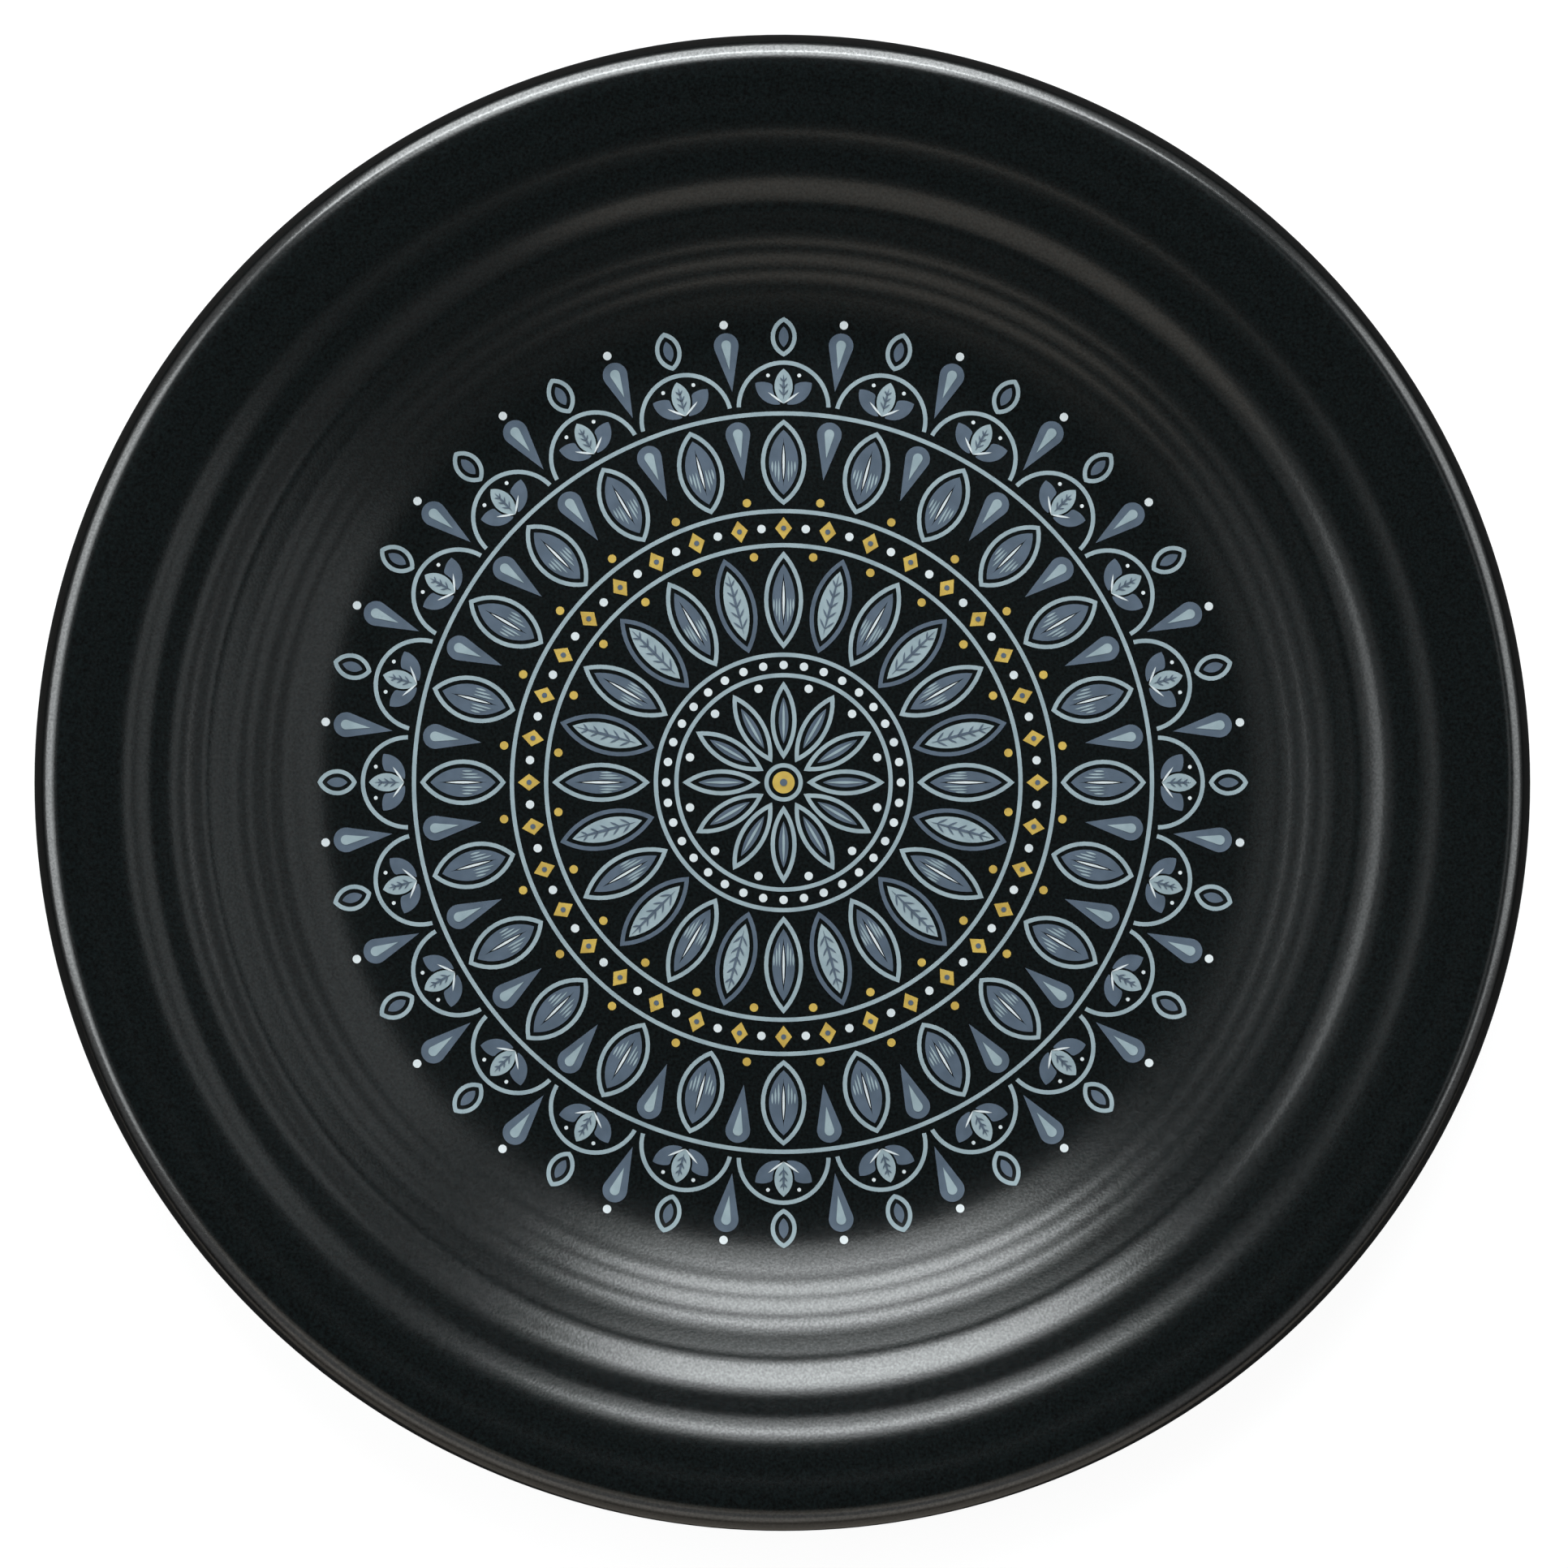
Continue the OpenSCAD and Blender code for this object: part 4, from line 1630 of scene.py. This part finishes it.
@dataclass
class ImagePoints:
    """Named points of the photograph and how far the model shows from them."""

    camera: bpy.types.Object
    section: PlateSection
    edges: dict[str, float] = field(default_factory=lambda: {
        "left": 33.3, "right": 1530.7, "top": 35.7, "bottom": 1530.7,
    })
    features: tuple[Feature, ...] = (
        Feature(782.7, 1279.6, Circle.FIRST_FINE_GROOVE),
        Feature(782.7, 1316.1, Circle.THIRD_FINE_GROOVE),
        Feature(782.7, 1358.5, Circle.BROAD_GROOVE),
        Feature(1360.0, 782.5, Circle.BROAD_GROOVE),
        Feature(207.8, 782.5, Circle.BROAD_GROOVE),
        Feature(782.7, 208.3, Circle.BROAD_GROOVE),
        Feature(782.7, 1378.0, Circle.BROAD_CREST),
        Feature(1377.9, 782.5, Circle.BROAD_CREST),
        Feature(188.6, 782.5, Circle.BROAD_CREST),
        Feature(782.7, 189.3, Circle.BROAD_CREST),
        Feature(782.7, 1431.6, Circle.OUTER_CREST),
        Feature(1431.1, 782.5, Circle.OUTER_CREST),
    )

    def place(self, x: float, y: float, carrier: BVHTree) -> Vector:
        """Finds where the ray through a point of the frame meets a surface.

        Args:
            x: Pixels from the frame's left side.
            y: Pixels from its top.
            carrier: The surface, as finished and placed.

        Returns:
            The place, or the one nearest the ray where it misses.
        """
        data, side = self.camera.data, PHOTO_SIDE
        direction = Vector((
            x - side / 2 + data.shift_x * side,
            side / 2 - y + data.shift_y * side,
            -side * data.lens / data.sensor_width,
        ))
        matrix = self.camera.matrix_world
        start, along = matrix.translation, (matrix.to_3x3() @ direction).normalized()
        hit = carrier.ray_cast(start, along)[0]
        if hit is None:
            hit = carrier.find_nearest(start - along * start.z / along.z)[0]
        return hit

    def shown(self, spot: Vector) -> Point:
        """Finds where in the frame a point of the scene shows.

        Args:
            spot: The point.

        Returns:
            Its pixels from the frame's left side and top.
        """
        data, side = self.camera.data, PHOTO_SIDE
        local = self.camera.matrix_world.inverted() @ spot
        scale = side * data.lens / data.sensor_width / -local.z
        return (
            local.x * scale + side / 2 - data.shift_x * side,
            side / 2 - local.y * scale + data.shift_y * side,
        )

    def write(self, glaze: bpy.types.Object) -> None:
        """Args:
            glaze: The finished glaze of the face, whose outline is the plate's.
        """
        spots = [self.shown(vertex.co) for vertex in glaze.data.vertices]
        xs, ys = [x for x, _ in spots], [y for _, y in spots]
        found = {"left": min(xs), "right": max(xs), "top": min(ys), "bottom": max(ys)}
        rows: dict[str, Any] = {name: round(found[name] - value, 2) for name, value in self.edges.items()}
        surface = BVHTree.FromPolygons(
            [vertex.co for vertex in glaze.data.vertices], [face.vertices for face in glaze.data.polygons])
        for feature in self.features:
            radius, height = self.section.circle(feature.circle)
            aimed = self.place(feature.x, feature.y, surface)
            out = Vector((aimed.x, aimed.y, 0.0)).normalized()
            x, y = self.shown(out * radius * MM + Vector((0.0, 0.0, height * MM)))
            rows[f"{feature.circle.value} at {feature.x}, {feature.y}"] = [
                round(x - feature.x, 2), round(y - feature.y, 2)]
        log.info("points %s", rows)


def main() -> None:
    """Builds the plate and its studio, in order."""
    logging.basicConfig(level=logging.INFO, format="%(message)s")
    scene = bpy.context.scene
    scene.view_settings.view_transform = "Standard"
    camera = OverheadCamera().build()
    section = PlateSection()
    pieces = TurnedPlate(section).build()
    pieces |= PrintedRosette(section, pieces["face_glaze"]).build()
    for node, piece in pieces.items():
        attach(piece, BODY)
        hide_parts(node)
        log.info("%s: %d faces, stands for %s", piece.name, len(piece.data.polygons), node)
    Studio().build()
    ImagePoints(camera, section).write(pieces["face_glaze"])


if __name__ == "__main__":
    main()
